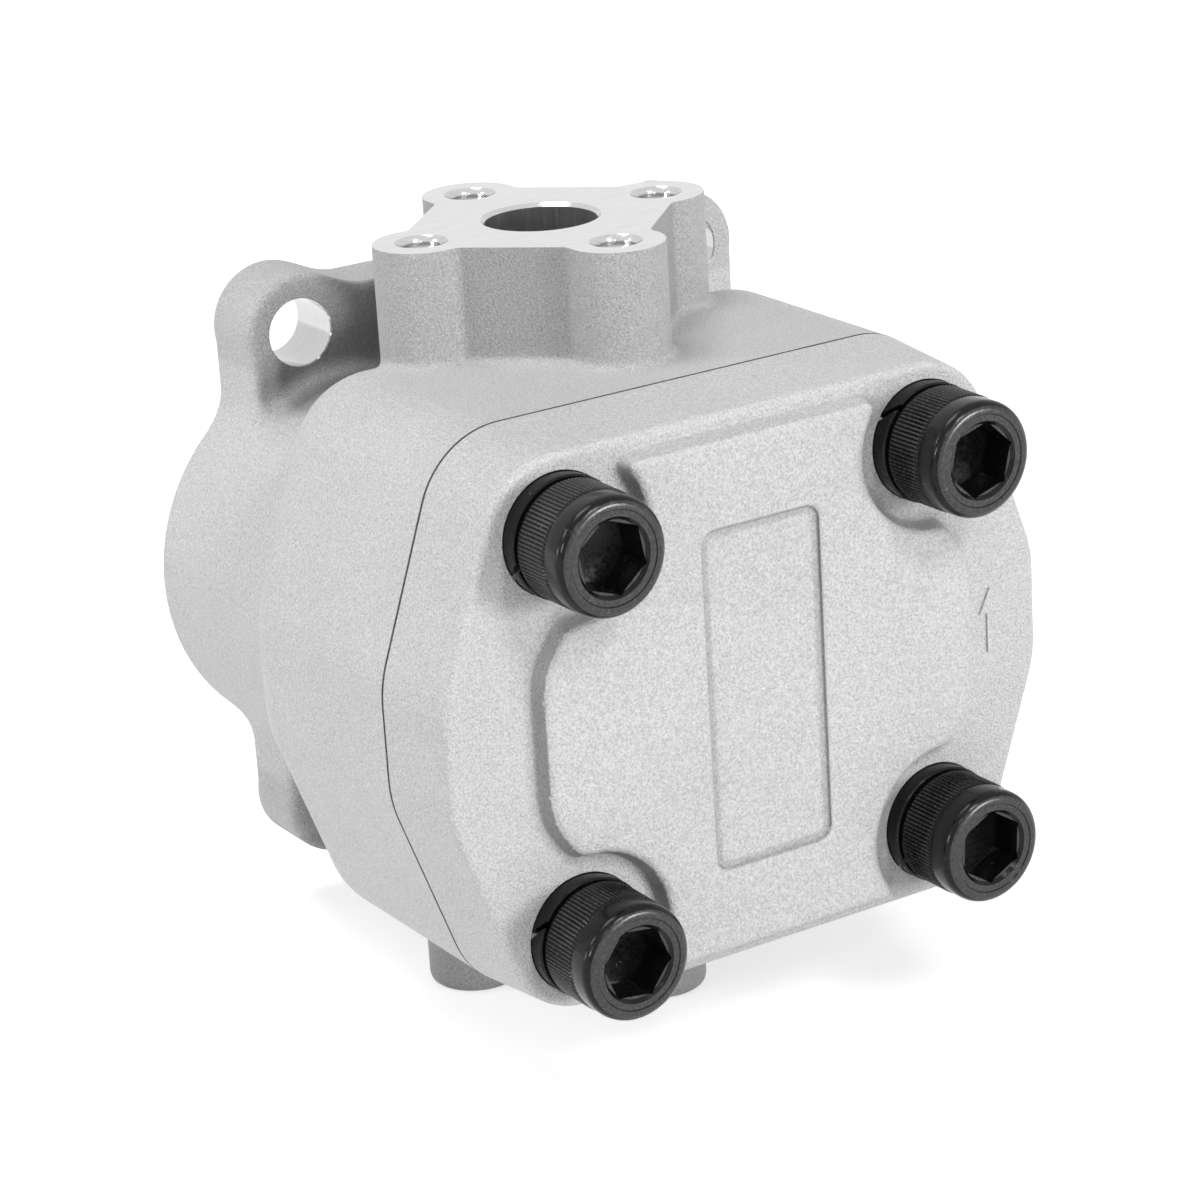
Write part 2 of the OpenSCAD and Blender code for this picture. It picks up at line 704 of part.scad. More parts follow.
// internal retaining ring with its two plier holes
module seal_retaining_ring() {
  outer = seal_bore_r + 0.85;
  color([0.22, 0.22, 0.24])
    difference() {
      union() {
        difference() {
          rod(drive_x, 0, seal_y1 + ring_gap, seal_y1 + ring_gap + circlip_t, outer);
          rod(drive_x, 0, seal_y1 - 1, pilot_h + 1, seal_bore_r - 1.5);
          translate([drive_x, seal_y1, -seal_bore_r])
            cube([6, 8, 2 * 6], center = true);
        }
        for (s = [-1, 1])
          rod(drive_x + s * 4.4, -seal_bore_r + 2.4, seal_y1 + ring_gap,
              seal_y1 + ring_gap + circlip_t, 1.9);
      }
      for (s = [-1, 1])
        rod(drive_x + s * 4.4, -seal_bore_r + 2.4, seal_y1 - 1, pilot_h + 1, 0.9);
    }
}
// O-ring on the pilot, drawn as it lies when the pump is mounted
module pilot_o_ring() {
  color([0.07, 0.07, 0.07])
    turned(drive_x, 0)
      translate([pilot_d / 2 - 0.05 - pilot_cord_d / 2, pilot_groove_y])
        circle(r = pilot_cord_d / 2, $fn = 24);
}

pump_body();
end_cover();
cover_screw_upper_left();
cover_screw_upper_right();
cover_screw_lower_left();
cover_screw_lower_right();
lock_washer_upper_left();
lock_washer_upper_right();
lock_washer_lower_left();
lock_washer_lower_right();
drive_gear_shaft();
driven_gear_shaft();
cover_end_bearing_block();
flange_end_bearing_block();
cover_end_drive_bush();
cover_end_driven_bush();
flange_end_drive_bush();
flange_end_driven_bush();
cover_end_pressure_seal();
flange_end_pressure_seal();
cover_end_backup_ring();
flange_end_backup_ring();
cover_seal();
dowel_pin_left();
dowel_pin_right();
shaft_seal_case();
shaft_seal_lip();
garter_spring();
seal_retaining_ring();
pilot_o_ring();
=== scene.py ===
"""Looks of the hydraulic gear pump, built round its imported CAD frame.

Lengths in the modelling code are millimetres in the CAD frame, and every mesh is scaled to metres
when its object is made. The two castings come from distance fields, so that their faces blend as a
casting's do, and the machined faces and holes are then cut into them with crisp edges.
"""

import math

import bmesh
import bpy
import numpy as np
import openvdb
from mathutils import Matrix, Vector


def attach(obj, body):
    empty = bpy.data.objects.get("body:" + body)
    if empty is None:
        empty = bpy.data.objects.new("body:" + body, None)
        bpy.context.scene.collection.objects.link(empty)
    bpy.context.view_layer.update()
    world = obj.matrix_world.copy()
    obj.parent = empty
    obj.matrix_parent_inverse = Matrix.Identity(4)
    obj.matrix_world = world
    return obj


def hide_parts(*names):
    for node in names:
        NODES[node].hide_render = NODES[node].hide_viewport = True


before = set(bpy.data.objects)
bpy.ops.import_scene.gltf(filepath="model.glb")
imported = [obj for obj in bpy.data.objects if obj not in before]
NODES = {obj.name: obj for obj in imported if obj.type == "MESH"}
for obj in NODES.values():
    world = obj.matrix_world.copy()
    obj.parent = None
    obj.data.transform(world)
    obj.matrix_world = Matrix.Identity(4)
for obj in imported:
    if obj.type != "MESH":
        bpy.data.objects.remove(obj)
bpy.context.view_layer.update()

MM = 0.001

# sizes, as in the CAD source
CENTRES = 27.5
MID_X = -CENTRES / 2
JOINT_Y, SHOULDER_Y, PORT_Y = -86.0, -41.0, -49.0
CHAMBER_Y1, CHAMBER_R = -12.0, 16.3
HALF_W, HALF_H = 54.0, 43.7
CORNER_R, CORNER_IN, SIDE_R, SIDE_FLAT = 14.0, 22.2, 20.0, 5.5
SHOULDER_R, BARREL_R = 10.0, 32.5
PORT_TOP, PORT_BOTTOM = 61.4, -59.6
PORT_BORE_R, PORT_PCD, PORT_LOBE_R, PORT_FLAT = 8.7, 42.3, 7.5, 18.8
PORT_THREAD_R, PORT_THREAD_DEPTH, PORT_CHAMFER = 3.4, 14.0, 0.7
PORT_DEPTH, PORT_NECK_R, PORT_NECK_END = 30.0, 7.5, 6.0
FLANGE_T, EAR_X, EAR_Z, EAR_HOLE_R, EAR_R, EAR_RISE = 11.6, 37.25, 40.2, 5.5, 9.5, 3.6
PILOT_R, PILOT_H, PILOT_CHAMFER = 30.0, 7.0, 1.0
O_RING_GROOVE_R, O_RING_GROOVE_Y = 27.7, (1.75, 4.25)
SEAT_Y, FACE_Y, PANEL_Y = -101.0, -101.4, -104.8
PANEL_R, BAND_X, BAND_Z, RELIEF_R = 26.0, 21.6, 39.2, 13.3
RECESS_W, RECESS_H, RECESS_DEPTH = 20.6, 52.6, 0.6
SCREW_X, SCREW_Z, SCREW_HOLE_R, SCREW_CLEAR_R = 32.05, 30.65, 6.05, 6.6
SCREW_HOLE_END_Y, SCREW_HOLE_TIP_Y = -56.0, -53.0
WASHER_Y, WASHER_R, WASHER_BORE_R, SEAT_GAP = -104.0, 9.2, 6.2, 0.08
HEAD_Y, HEAD_R, SOCKET_AF, SOCKET_DEPTH = -116.0, 9.0, 10.0, 6.0
SCREW_R, SCREW_TIP_Y = 5.95, -59.0
KNURLS, KNURL_DEPTH = 90, 0.24
DOWEL_X, DOWEL_R, DOWEL_DEPTH = 43.0, 4.01, 8.5
WALL_HOLE_R, SEAL_BORE_R, SEAL_FLOOR_Y = 9.6, 15.0, -3.0
CIRCLIP_GROOVE_Y, CIRCLIP_GROOVE_DEPTH = (4.0, 5.25), 0.9
TRACK_R, TRACK_HALF_W, TRACK_DEPTH = 19.8, 1.25, 2.02
# chamfers round the mouths of holes
PORT_MOUTH, EAR_FRONT_MOUTH, EAR_BACK_MOUTH, SEAL_MOUTH = 0.6, 0.2, 0.5, 0.8

# the cover's shape where it follows the photograph more closely than the CAD does
PANEL_HALF, PANEL_DRAFT, COVER_DRAFT = 37.7, 1.0, 1.4
ARROW = [(-0.6, -5.8), (0.6, -5.8), (0.6, 0.6), (2, 0.6), (0, 4.6), (-2, 0.6), (-0.6, 0.6)]
ARROW_X, ARROW_H = MID_X + 43.6, 0.35

# radii of the castings' edges, and of the corners in their plans
FLANGE_EDGE, PORT_EDGE, COVER_EDGE, PANEL_EDGE = 1.6, 1.4, 1.1, 0.8
PLAN_CORNER, BAND_CORNER, RECESS_CORNER = 1.0, 2.0, 2.2
EAR_INSET = 0.2
# how wide the castings' forms run together where they meet
EAR_BLEND, FLANGE_BLEND, BARREL_BLEND, BOSS_BLEND, LOBE_BLEND = 5.0, 4.0, 8.0, 1.5, 0.8
PANEL_END_BLEND, BAND_BLEND, RELIEF_BLEND, PANEL_BLEND, RECESS_BLEND = 1.5, 2.0, 1.2, 1.3, 0.5
# how far a form runs on past the plane that will cut it, or into its neighbour
PAST_FLANGE, PAST_PORT, PAST_JOINT, PAST_PANEL, INTO_BLOCK = 12.0, 6.0, 30.0, 9.0, 14.0
# how far a cutter starts outside the face that it cuts, or an added solid inside the one it joins
OVER = 1.0
# reach of the blocks that cut whole faces
FAR = 90.0

# the space in which each casting's field is read, and how finely
BODY_SPACE = (-70.0, JOINT_Y - 4, -62.0), (49.0, 4.0, PORT_TOP + 4)
COVER_SPACE = (-70.0, PANEL_Y - 2, -46.0), (43.0, JOINT_Y + 3, 46.0)
VOXEL_BODY = 0.7
VOXEL_COVER = 0.5
# a vertex this near to the field's surface is cast skin
SKIN_GAP = 0.2


# distance fields
def smooth_min(a, b, k):
    h = np.clip(0.5 + 0.5 * (b - a) / k, 0, 1)
    return b + (a - b) * h - k * h * (1 - h)


def smooth_max(a, b, k):
    return -smooth_min(-a, -b, k)


def share(value, start, end, least=0.0, most=1.0):
    """How far the value has come from start to end, held between least and most."""
    return np.clip((value - start) / (end - start), least, most)


def circle(u, v, r):
    return np.hypot(u, v) - r


def box2(u, v, half_u, half_v, r=0.0):
    du, dv = np.abs(u) - half_u + r, np.abs(v) - half_v + r
    return np.minimum(np.maximum(du, dv), 0) + np.hypot(np.maximum(du, 0), np.maximum(dv, 0)) - r


def prism(flat, a, low, high, r=0.0):
    """A flat distance drawn out along a from low to high, with its edges rounded by r."""
    u = flat + r
    v = np.abs(a - (low + high) / 2) - (high - low) / 2 + r
    return np.minimum(np.maximum(u, v), 0) + np.hypot(np.maximum(u, 0), np.maximum(v, 0)) - r


def arc(cx, cz, r, a0, a1, n):
    return [(cx + r * math.cos(a0 + (a1 - a0) * i / n), cz + r * math.sin(a0 + (a1 - a0) * i / n))
            for i in range(n + 1)]


def outline_points(inset=0.0, n=14):
    """The housing's outline seen from the cover, about its middle."""
    sx, sz = HALF_W - SIDE_R, SIDE_FLAT
    cx, cz = HALF_W - CORNER_IN, HALF_H - CORNER_R
    reach = math.hypot(cx - sx, cz - sz)
    flank = math.atan2(cz - sz, cx - sx) - math.acos((SIDE_R - CORNER_R) / reach)
    quarter = (arc(sx, sz, SIDE_R - inset, 0, flank, n)
               + arc(cx, cz, CORNER_R - inset, flank, math.pi / 2, n))
    upper = quarter + [(-x, z) for x, z in reversed(quarter)]
    return upper + [(x, -z) for x, z in reversed(upper)]


def polygon(u, v, points):
    """Signed distance to a closed polygon, negative inside."""
    shape = np.broadcast(u, v).shape
    best = np.full(shape, 1e9, np.float32)
    sign = np.ones(shape, np.float32)
    for i, (ax, az) in enumerate(points):
        bx, bz = points[i - 1]
        ex, ez = bx - ax, bz - az
        if ex * ex + ez * ez < 1e-12:
            continue
        wx, wz = u - ax, v - az
        t = np.clip((wx * ex + wz * ez) / (ex * ex + ez * ez), 0, 1)
        best = np.minimum(best, (wx - ex * t) ** 2 + (wz - ez * t) ** 2)
        above, below, left = v >= az, v < bz, ex * wz > ez * wx
        sign = np.where((above & below & left) | (~above & ~below & ~left), -sign, sign)
    return sign * np.sqrt(best)


OUTLINE = outline_points()
PANEL_LEAN = math.cos(math.atan(PANEL_DRAFT / (FACE_Y - PANEL_Y)))


def flange_plan(x, z):
    ax, az = np.abs(x), np.abs(z)
    wide = box2(x, z, EAR_X + EAR_R - EAR_INSET, EAR_Z, PLAN_CORNER)
    tall = box2(x, z, EAR_X, EAR_Z + EAR_R - EAR_RISE, PLAN_CORNER)
    ears = circle(ax - EAR_X, az - EAR_Z, EAR_R)
    return smooth_min(np.minimum(wide, ears), tall, EAR_BLEND)


def port_plan(x, y):
    """Port boss seen along Z, about its bore."""
    turned = box2((x + y) / math.sqrt(2), (x - y) / math.sqrt(2), PORT_FLAT, PORT_FLAT, PLAN_CORNER)
    lobes = np.minimum(circle(np.abs(x) - PORT_PCD / 2, y, PORT_LOBE_R),
                       circle(x, np.abs(y) - PORT_PCD / 2, PORT_LOBE_R))
    return smooth_min(turned, lobes, LOBE_BLEND)


def bare_body_field(x, y, z):
    """The body without its port bosses."""
    drum = prism(polygon(x - MID_X, z, OUTLINE), y, JOINT_Y - PAST_JOINT, SHOULDER_Y, SHOULDER_R)
    both_axes = circle(np.maximum(np.abs(x - MID_X) - CENTRES / 2, 0), z, BARREL_R)
    barrel = prism(both_axes, y, SHOULDER_Y - INTO_BLOCK, PAST_FLANGE)
    flange = prism(flange_plan(x, z), y, -FLANGE_T, PAST_FLANGE, FLANGE_EDGE)
    return smooth_min(smooth_min(drum, barrel, BARREL_BLEND), flange, FLANGE_BLEND)


def body_field(x, y, z):
    boss = prism(port_plan(x - MID_X, y - PORT_Y), z, PORT_BOTTOM, PORT_TOP + PAST_PORT, PORT_EDGE)
    return smooth_min(bare_body_field(x, y, z), boss, BOSS_BLEND)


def panel_plan(xm, z):
    ax, az = np.abs(xm), np.abs(z)
    both_axes = circle(np.maximum(ax - CENTRES / 2, 0), z, PANEL_R)
    lobes = smooth_max(both_axes, ax - PANEL_HALF, PANEL_END_BLEND)
    band = box2(xm, z, BAND_X, BAND_Z, BAND_CORNER)
    relief = circle(ax - SCREW_X, az - SCREW_Z, RELIEF_R)
    return smooth_max(smooth_min(lobes, band, BAND_BLEND), -relief, RELIEF_BLEND)


def cover_field(x, y, z):
    """The cover, whose side and whose panel's wall both lean. The lean goes on a little past each face."""
    xm = x - MID_X
    leaning = polygon(xm, z, OUTLINE) + COVER_DRAFT * share(y, JOINT_Y, FACE_Y, 0, 1.1)
    base = prism(leaning, y, FACE_Y, JOINT_Y + PAST_JOINT, COVER_EDGE)
    drafted = panel_plan(xm, z) - PANEL_DRAFT * share(y, PANEL_Y, FACE_Y, -1, 1.2)
    panel = prism(drafted * PANEL_LEAN, y, PANEL_Y, JOINT_Y, PANEL_EDGE)
    plate = box2(xm, z, RECESS_W / 2, RECESS_H / 2, RECESS_CORNER)
    recess = prism(plate, y, PANEL_Y - PAST_PANEL, PANEL_Y + RECESS_DEPTH)
    return smooth_max(smooth_min(base, panel, PANEL_BLEND), -recess, RECESS_BLEND)


# meshes from fields
def evaluate(field, low, high, step):
    """The field's values on a grid of points a step apart."""
    axes = [np.arange(a, b + step, step, dtype=np.float32) for a, b in zip(low, high)]
    x, y, z = axes[0][:, None, None], axes[1][None, :, None], axes[2][None, None, :]
    return np.ascontiguousarray(np.broadcast_to(field(x, y, z), [len(a) for a in axes]).astype(np.float32))


def gradient(field, p, h=0.05):
    g = np.empty_like(p)
    for i in range(3):
        a, b = p.copy(), p.copy()
        a[:, i] += h
        b[:, i] -= h
        g[:, i] = (field(*a.T) - field(*b.T)) / (2 * h)
    return g


def unit(v):
    return v / np.maximum(np.linalg.norm(v, axis=1), 1e-6)[:, None]


def skin(field, low, high, step):
    """Vertices and quads of the field's zero surface, pulled onto it by two short Newton steps."""
    grid = openvdb.FloatGrid()
    grid.copyFromArray(evaluate(field, low, high, step))
    points, quads = grid.convertToQuads(0.0)
    p = points.astype(np.float64) * step + np.array(low)
    for _ in range(2):
        g = gradient(field, p)
        slope2 = np.maximum((g * g).sum(1), 0.05)
        reach = 0.6 * step
        move = np.clip(field(*p.T) / slope2, -reach, reach)
        p -= g * move[:, None]
    return p, quads[:, ::-1]


def to_mesh(name, verts, faces):
    mesh = bpy.data.meshes.new(name)
    mesh.from_pydata([tuple(v) for v in verts], [], [tuple(int(i) for i in f) for f in faces])
    mesh.update()
    return mesh


def to_object(name, data):
    obj = bpy.data.objects.new(name, data)
    bpy.context.scene.collection.objects.link(obj)
    return obj


def along_y(u, v, t):
    return (u, t, v)


def along_z(u, v, t):
    return (u, v, t)


def lathe(profile, place, centre, n=96, bumps=None):
    """A closed solid turned about an axis. The profile's points are (radius, station), end to end.

    bumps(k, i) is added to the radius at the profile's point k and the turn's step i."""
    verts, faces, rings = [], [], []
    for k, (r, t) in enumerate(profile):
        if r <= 1e-6:
            rings.append([len(verts)])
            verts.append(place(centre[0], centre[1], t))
            continue
        rings.append(list(range(len(verts), len(verts) + n)))
        for i in range(n):
            a = 2 * math.pi * i / n
            rr = r + (bumps(k, i) if bumps else 0.0)
            verts.append(place(centre[0] + rr * math.cos(a), centre[1] + rr * math.sin(a), t))
    for a, b in zip(rings, rings[1:]):
        for i in range(n):
            j = (i + 1) % n
            if len(a) == 1:
                faces.append((a[0], b[i], b[j]))
            elif len(b) == 1:
                faces.append((a[i], b[0], a[j]))
            else:
                faces.append((a[i], b[i], b[j], a[j]))
    return verts, faces


def slab(points, place, low, high):
    """A closed solid with the points as its outline, from low to high."""
    n = len(points)
    verts = [place(u, v, low) for u, v in points] + [place(u, v, high) for u, v in points]
    faces = [tuple(range(n)), tuple(range(2 * n - 1, n - 1, -1))]
    faces += [(i, i + n, (i + 1) % n + n, (i + 1) % n) for i in range(n)]
    return verts, faces


def block(low, high):
    (x0, y0, z0), (x1, y1, z1) = low, high
    return slab([(x0, y0), (x1, y0), (x1, y1), (x0, y1)], along_z, z0, z1)


def ring(loops):
    """A closed ring through loops of points, each as long as the next and the last joined to the first."""
    n, m = len(loops[0]), len(loops)
    verts = [p for loop in loops for p in loop]
    faces = [(k * n + i, k * n + (i + 1) % n, ((k + 1) % m) * n + (i + 1) % n, ((k + 1) % m) * n + i)
             for k in range(m) for i in range(n)]
    return verts, faces


def ring_along(section):
    """A closed ring along the housing's outline. The section's points are (inset, y)."""
    return ring([[(MID_X + x, y, z) for x, z in outline_points(inset)] for inset, y in section])


def joined(parts):
    verts, faces = [], []
    for v, f in parts:
        faces += [tuple(i + len(verts) for i in q) for q in f]
        verts += list(v)
    return verts, faces


def outward(mesh):
    """Turns a closed mesh's faces so that they look outwards."""
    bm = bmesh.new()
    bm.from_mesh(mesh)
    bmesh.ops.recalc_face_normals(bm, faces=bm.faces)
    bm.to_mesh(mesh)
    bm.free()
    return mesh


def carve(name, mesh, steps):
    """Cuts ("DIFFERENCE") or adds ("UNION") closed solids, one after another."""
    obj = to_object(name, outward(mesh))
    tools = []
    for k, (operation, parts) in enumerate(steps):
        tool = to_object(f"{name}_tool_{k}", outward(to_mesh("tool", *joined(parts))))
        tools.append(tool)
        mod = obj.modifiers.new(f"step{k}", "BOOLEAN")
        mod.operation, mod.object, mod.solver = operation, tool, "MANIFOLD"
    bpy.context.view_layer.update()
    done = bpy.data.meshes.new_from_object(obj.evaluated_get(bpy.context.evaluated_depsgraph_get()))
    for o in [obj] + tools:
        bpy.data.objects.remove(o)
    return done


def per_face(mesh, what):
    values = np.empty(len(mesh.polygons) * 3)
    mesh.polygons.foreach_get(what, values)
    return values.reshape(-1, 3)


# marks on the castings' skins: painted shade in creases and pockets, on the ears, the underside and the
# cover panel's wall, and darker port bosses
# how far from the skin its creases and pockets are felt
CREASE_REACH, POCKET_REACHES = 1.6, (12.0, 22.0)
# how far out a boss counts in full, how wide its foot is, and how wide the rim of its lobes is
BOSS_HEIGHT, FOOT_WIDTH, LOBE_RIM = 1.0, 6.0, 0.6
# what a boss and its foot take from a crease, and what a lobe takes from its boss
BOSS_CREASE, FOOT_CREASE, LOBE_BOSS = 0.8, 2.2, 0.35
# the painted shade of pockets counts behind the shoulder, and less so out at the ears
SHELTER_Y, SHELTER_X, SHELTER_LEAST = (SHOULDER_Y - 7, SHOULDER_Y + 7), (47, 41), 0.7
# the ears and the underside get painted shade all over; each range runs from where that starts to where it
# is full
EAR_SHADE_Z, EAR_SHADE_Y, EAR_SHADE = (31, 36), (-FLANGE_T - 5, -FLANGE_T - 1), 0.33
UNDERSIDE_Z, UNDERSIDE_SHADE = (-43.0, -45.5), 0.42
# painted shade on the wall of the cover's panel: its slopes and places, how dark it is painted, and what
# looking up towards the light takes from that
WALL_SLOPES, WALL_Y, WALL_REACH = (0.93, 0.63), (PANEL_Y + RECESS_DEPTH + 0.1, FACE_Y + 0.2), 2.0
WALL_CREASE, WALL_LIT = 0.6, 0.6


def add_values(mesh, name, values):
    mesh.attributes.new(name, "FLOAT", "POINT").data.foreach_set("value", values.astype(np.float32))


def body_marks(p):
    """Where the body's skin is a port boss or its foot, how sheltered it is, and how much painted shade it
    gets on the ears and underside.
    """
    x, y, z = p.T
    across, height = np.abs(x), np.abs(z)
    sheltered = share(y, *SHELTER_Y) * share(across, *SHELTER_X, SHELTER_LEAST, 1)
    ear = share(height, *EAR_SHADE_Z) * share(y, *EAR_SHADE_Y)
    return {
        "boss": share(bare_body_field(x, y, z), 0, BOSS_HEIGHT),
        "foot": share(port_plan(x - MID_X, y - PORT_Y), FOOT_WIDTH, 0) * (height > SCREW_Z),
        "sheltered": np.where(z < 0, np.maximum(sheltered, SHELTER_LEAST), sheltered),
        # painted shade on the ears and the underside
        "dull": np.maximum(EAR_SHADE * ear, UNDERSIDE_SHADE * share(z, *UNDERSIDE_Z)),
    }


def cover_marks(p):
    """Where the cover's skin is the steep wall of its panel, which gets painted shade. The shade is painted
    lighter where the wall looks up towards the light.
    """
    x, y, z = p.T
    g = unit(gradient(cover_field, p))
    steep = share(np.abs(g[:, 1]), *WALL_SLOPES)
    between = (y > WALL_Y[0]) & (y < WALL_Y[1])
    near = panel_plan(x - MID_X, z) < WALL_REACH
    return {"wall": steep * between * near * (1 - WALL_LIT * np.clip(g[:, 2], 0, 1))}


def to_nearest_lobe(x, y):
    """Places seen from the nearest of a port's four lobes, along X and Y."""
    u, v = np.abs(x - MID_X), np.abs(y - PORT_Y)
    return np.maximum(u, v) - PORT_PCD / 2, np.minimum(u, v)


def add_hollows(mesh, field, marks):
    """Marks the casting's vertices with painted shade, by how deep they lie in creases and pockets, and with
    how much they lie on a port boss.
    """
    p = np.empty(len(mesh.vertices) * 3)
    mesh.vertices.foreach_get("co", p)
    p = p.reshape(-1, 3)
    g = unit(gradient(field, p))
    on_skin = np.abs(field(*p.T)) < SKIN_GAP
    found = dict.fromkeys(("boss", "foot", "sheltered", "dull", "wall"), np.zeros(len(p)))
    found.update(marks(p))
    boss = found["boss"] * on_skin

    def hollow(reach):
        return np.where(on_skin, 1 - field(*(p + g * reach).T) / reach, 0.0)

    # painted shade in creases, taken off on the port bosses and their feet
    crease = np.clip(hollow(CREASE_REACH), -1, 1) * (1 - BOSS_CREASE * boss)
    crease *= 1 - FOOT_CREASE * found["foot"]
    # the cover panel's wall gets painted shade as well
    add_values(mesh, "crease_shade", np.maximum(crease, WALL_CREASE * found["wall"] * on_skin))
    # painted shade in pockets, and on the ears and underside
    pocket_shade = np.mean([np.clip(hollow(r), 0, 1) for r in POCKET_REACHES], axis=0)
    add_values(mesh, "pocket_shade", np.maximum(pocket_shade * (1 - boss) * found["sheltered"], found["dull"]))
    lobe = share(circle(*to_nearest_lobe(*p.T[:2]), PORT_LOBE_R), LOBE_RIM, 0)
    add_values(mesh, "boss", boss * (1 - LOBE_BOSS * lobe))


# materials
CAST_TONE, MILLED_TONE = 0.64, 0.74
# nearly all of a noise's values lie between these
NOISE_LOW, NOISE_HIGH = 0.3, 0.7


def new_material(name):
    """An empty material with its tree and its shader."""
    mat = bpy.data.materials.new(name)
    mat.use_nodes = True
    nt = mat.node_tree
    nt.nodes.clear()
    out = nt.nodes.new("ShaderNodeOutputMaterial")
    bsdf = nt.nodes.new("ShaderNodeBsdfPrincipled")
    nt.links.new(bsdf.outputs[0], out.inputs[0])
    return mat, nt, bsdf


def node(nt, kind, inputs=None, **props):
    """Adds a node. An input given as a socket is linked, and any other is set."""
    n = nt.nodes.new(kind)
    for k, v in props.items():
        setattr(n, k, v)
    for k, v in (inputs or {}).items():
        if isinstance(v, bpy.types.NodeSocket):
            nt.links.new(v, n.inputs[k])
        else:
            n.inputs[k].default_value = v
    return n


def noise(nt, where, scale, detail=2.0, rough=0.5):
    return node(nt, "ShaderNodeTexNoise",
                {"Vector": where, "Scale": scale, "Detail": detail, "Roughness": rough}).outputs["Fac"]


def spread(nt, value, low, high, to_low, to_high):
    """The value taken from the range low to high to the range to_low to to_high, and held there."""
    return node(nt, "ShaderNodeMapRange",
                {0: value, 1: low, 2: high, 3: to_low, 4: to_high}).outputs[0]


def varied(nt, fac, low, high):
    """The range from low to high, as the noise varies."""
    return spread(nt, fac, NOISE_LOW, NOISE_HIGH, low, high)


def math_node(nt, kind, a, b):
    return node(nt, "ShaderNodeMath", {0: a, 1: b}, operation=kind).outputs[0]


def grey(nt, value):
    return node(nt, "ShaderNodeCombineColor", {0: value, 1: value, 2: value}).outputs[0]


def tinted(nt, shade, tone):
    """The tone's three channels, each times the shade."""
    channels = {k: math_node(nt, "MULTIPLY", shade, tone[k]) for k in range(3)}
    return node(nt, "ShaderNodeCombineColor", channels).outputs[0]


def bump(nt, height, distance, strength, normal=None):
    """A bump of a height in metres, on top of the normal if one is given."""
    inputs = {"Height": height, "Distance": distance, "Strength": strength}
    if normal is not None:
        inputs["Normal"] = normal
    return node(nt, "ShaderNodeBump", inputs).outputs[0]


def object_place(nt):
    return node(nt, "ShaderNodeTexCoord").outputs["Object"]


def stretched(nt, scale):
    """The object's own coordinates, scaled along each axis."""
    return node(nt, "ShaderNodeMapping", {"Vector": object_place(nt), "Scale": scale}).outputs[0]


def attribute(nt, name):
    return node(nt, "ShaderNodeAttribute", attribute_name=name).outputs["Fac"]


def cast_aluminium():
    """Shot-blasted casting with a fine bright grain, with painted shade in creases and pockets and darker on
    the port bosses.
    """
    mat, nt, bsdf = new_material("cast_aluminium")
    where = object_place(nt)
    crease_shade = attribute(nt, "crease_shade")
    grain = noise(nt, where, 3000.0, 2.0, 0.7)
    coarse = noise(nt, where, 1100.0, 2.0, 0.5)
    cloud = noise(nt, where, 45.0, 4.0, 0.6)
    tone = math_node(nt, "ADD", CAST_TONE, varied(nt, cloud, -0.02, 0.02))
    tone = math_node(nt, "ADD", tone, varied(nt, grain, -0.18, 0.18))
    # painted shade in creases and in pockets
    tone = math_node(nt, "MULTIPLY", tone, spread(nt, crease_shade, 0.12, 0.6, 1.0, 0.50))
    tone = math_node(nt, "MULTIPLY", tone, spread(nt, attribute(nt, "pocket_shade"), 0.25, 0.70, 1.0, 0.30))
    # darker on the port bosses, less so on their lobes
    tone = math_node(nt, "MULTIPLY", tone, spread(nt, attribute(nt, "boss"), 0.0, 1.0, 1.0, 0.58))
    nt.links.new(grey(nt, tone), bsdf.inputs["Base Color"])
    bsdf.inputs["Metallic"].default_value = 0.08
    bsdf.inputs["Specular IOR Level"].default_value = 0.4
    nt.links.new(varied(nt, grain, 0.40, 0.60), bsdf.inputs["Roughness"])
    nt.links.new(bump(nt, coarse, 0.00025, 0.6, bump(nt, grain, 0.0003, 1.0)), bsdf.inputs["Normal"])
    return mat


def machined_aluminium():
    """Milled faces, with faint streaks across them."""
    mat, nt, bsdf = new_material("machined_aluminium")
    streak = stretched(nt, (1.0, 14.0, 9.0))
    lines = noise(nt, streak, 260.0, 2.0, 0.5)
    tone = math_node(nt, "ADD", MILLED_TONE, varied(nt, lines, -0.05, 0.05))
    nt.links.new(grey(nt, tone), bsdf.inputs["Base Color"])
    bsdf.inputs["Metallic"].default_value = 0.75
    bsdf.inputs["Roughness"].default_value = 0.30
    nt.links.new(bump(nt, lines, 0.00002, 0.6), bsdf.inputs["Normal"])
    return mat


def joint_line():
    """The dark line between body and cover."""
    mat, nt, bsdf = new_material("joint_line")
    tone = varied(nt, noise(nt, object_place(nt), 400.0), 0.05, 0.11)
    nt.links.new(grey(nt, tone), bsdf.inputs["Base Color"])
    bsdf.inputs["Roughness"].default_value = 0.8
    return mat


def black_oxide(name, tone, metallic, specular, rough):
    """Oiled black oxide on steel, with small bright scuffs. Tone and rough are ranges."""
    mat, nt, bsdf = new_material(name)
    where = object_place(nt)
    fine = noise(nt, where, 1500.0, 3.0, 0.6)
    scuffs = noise(nt, where, 520.0, 4.0, 0.7)
    shade = math_node(nt, "ADD", varied(nt, fine, *tone), spread(nt, scuffs, 0.66, 0.76, 0.0, 0.10))
    nt.links.new(grey(nt, shade), bsdf.inputs["Base Color"])
    bsdf.inputs["Metallic"].default_value = metallic
    bsdf.inputs["Specular IOR Level"].default_value = specular
    nt.links.new(varied(nt, fine, *rough), bsdf.inputs["Roughness"])
    nt.links.new(bump(nt, scuffs, 0.00004, 0.5, bump(nt, fine, 0.00002, 0.5)), bsdf.inputs["Normal"])
    return mat


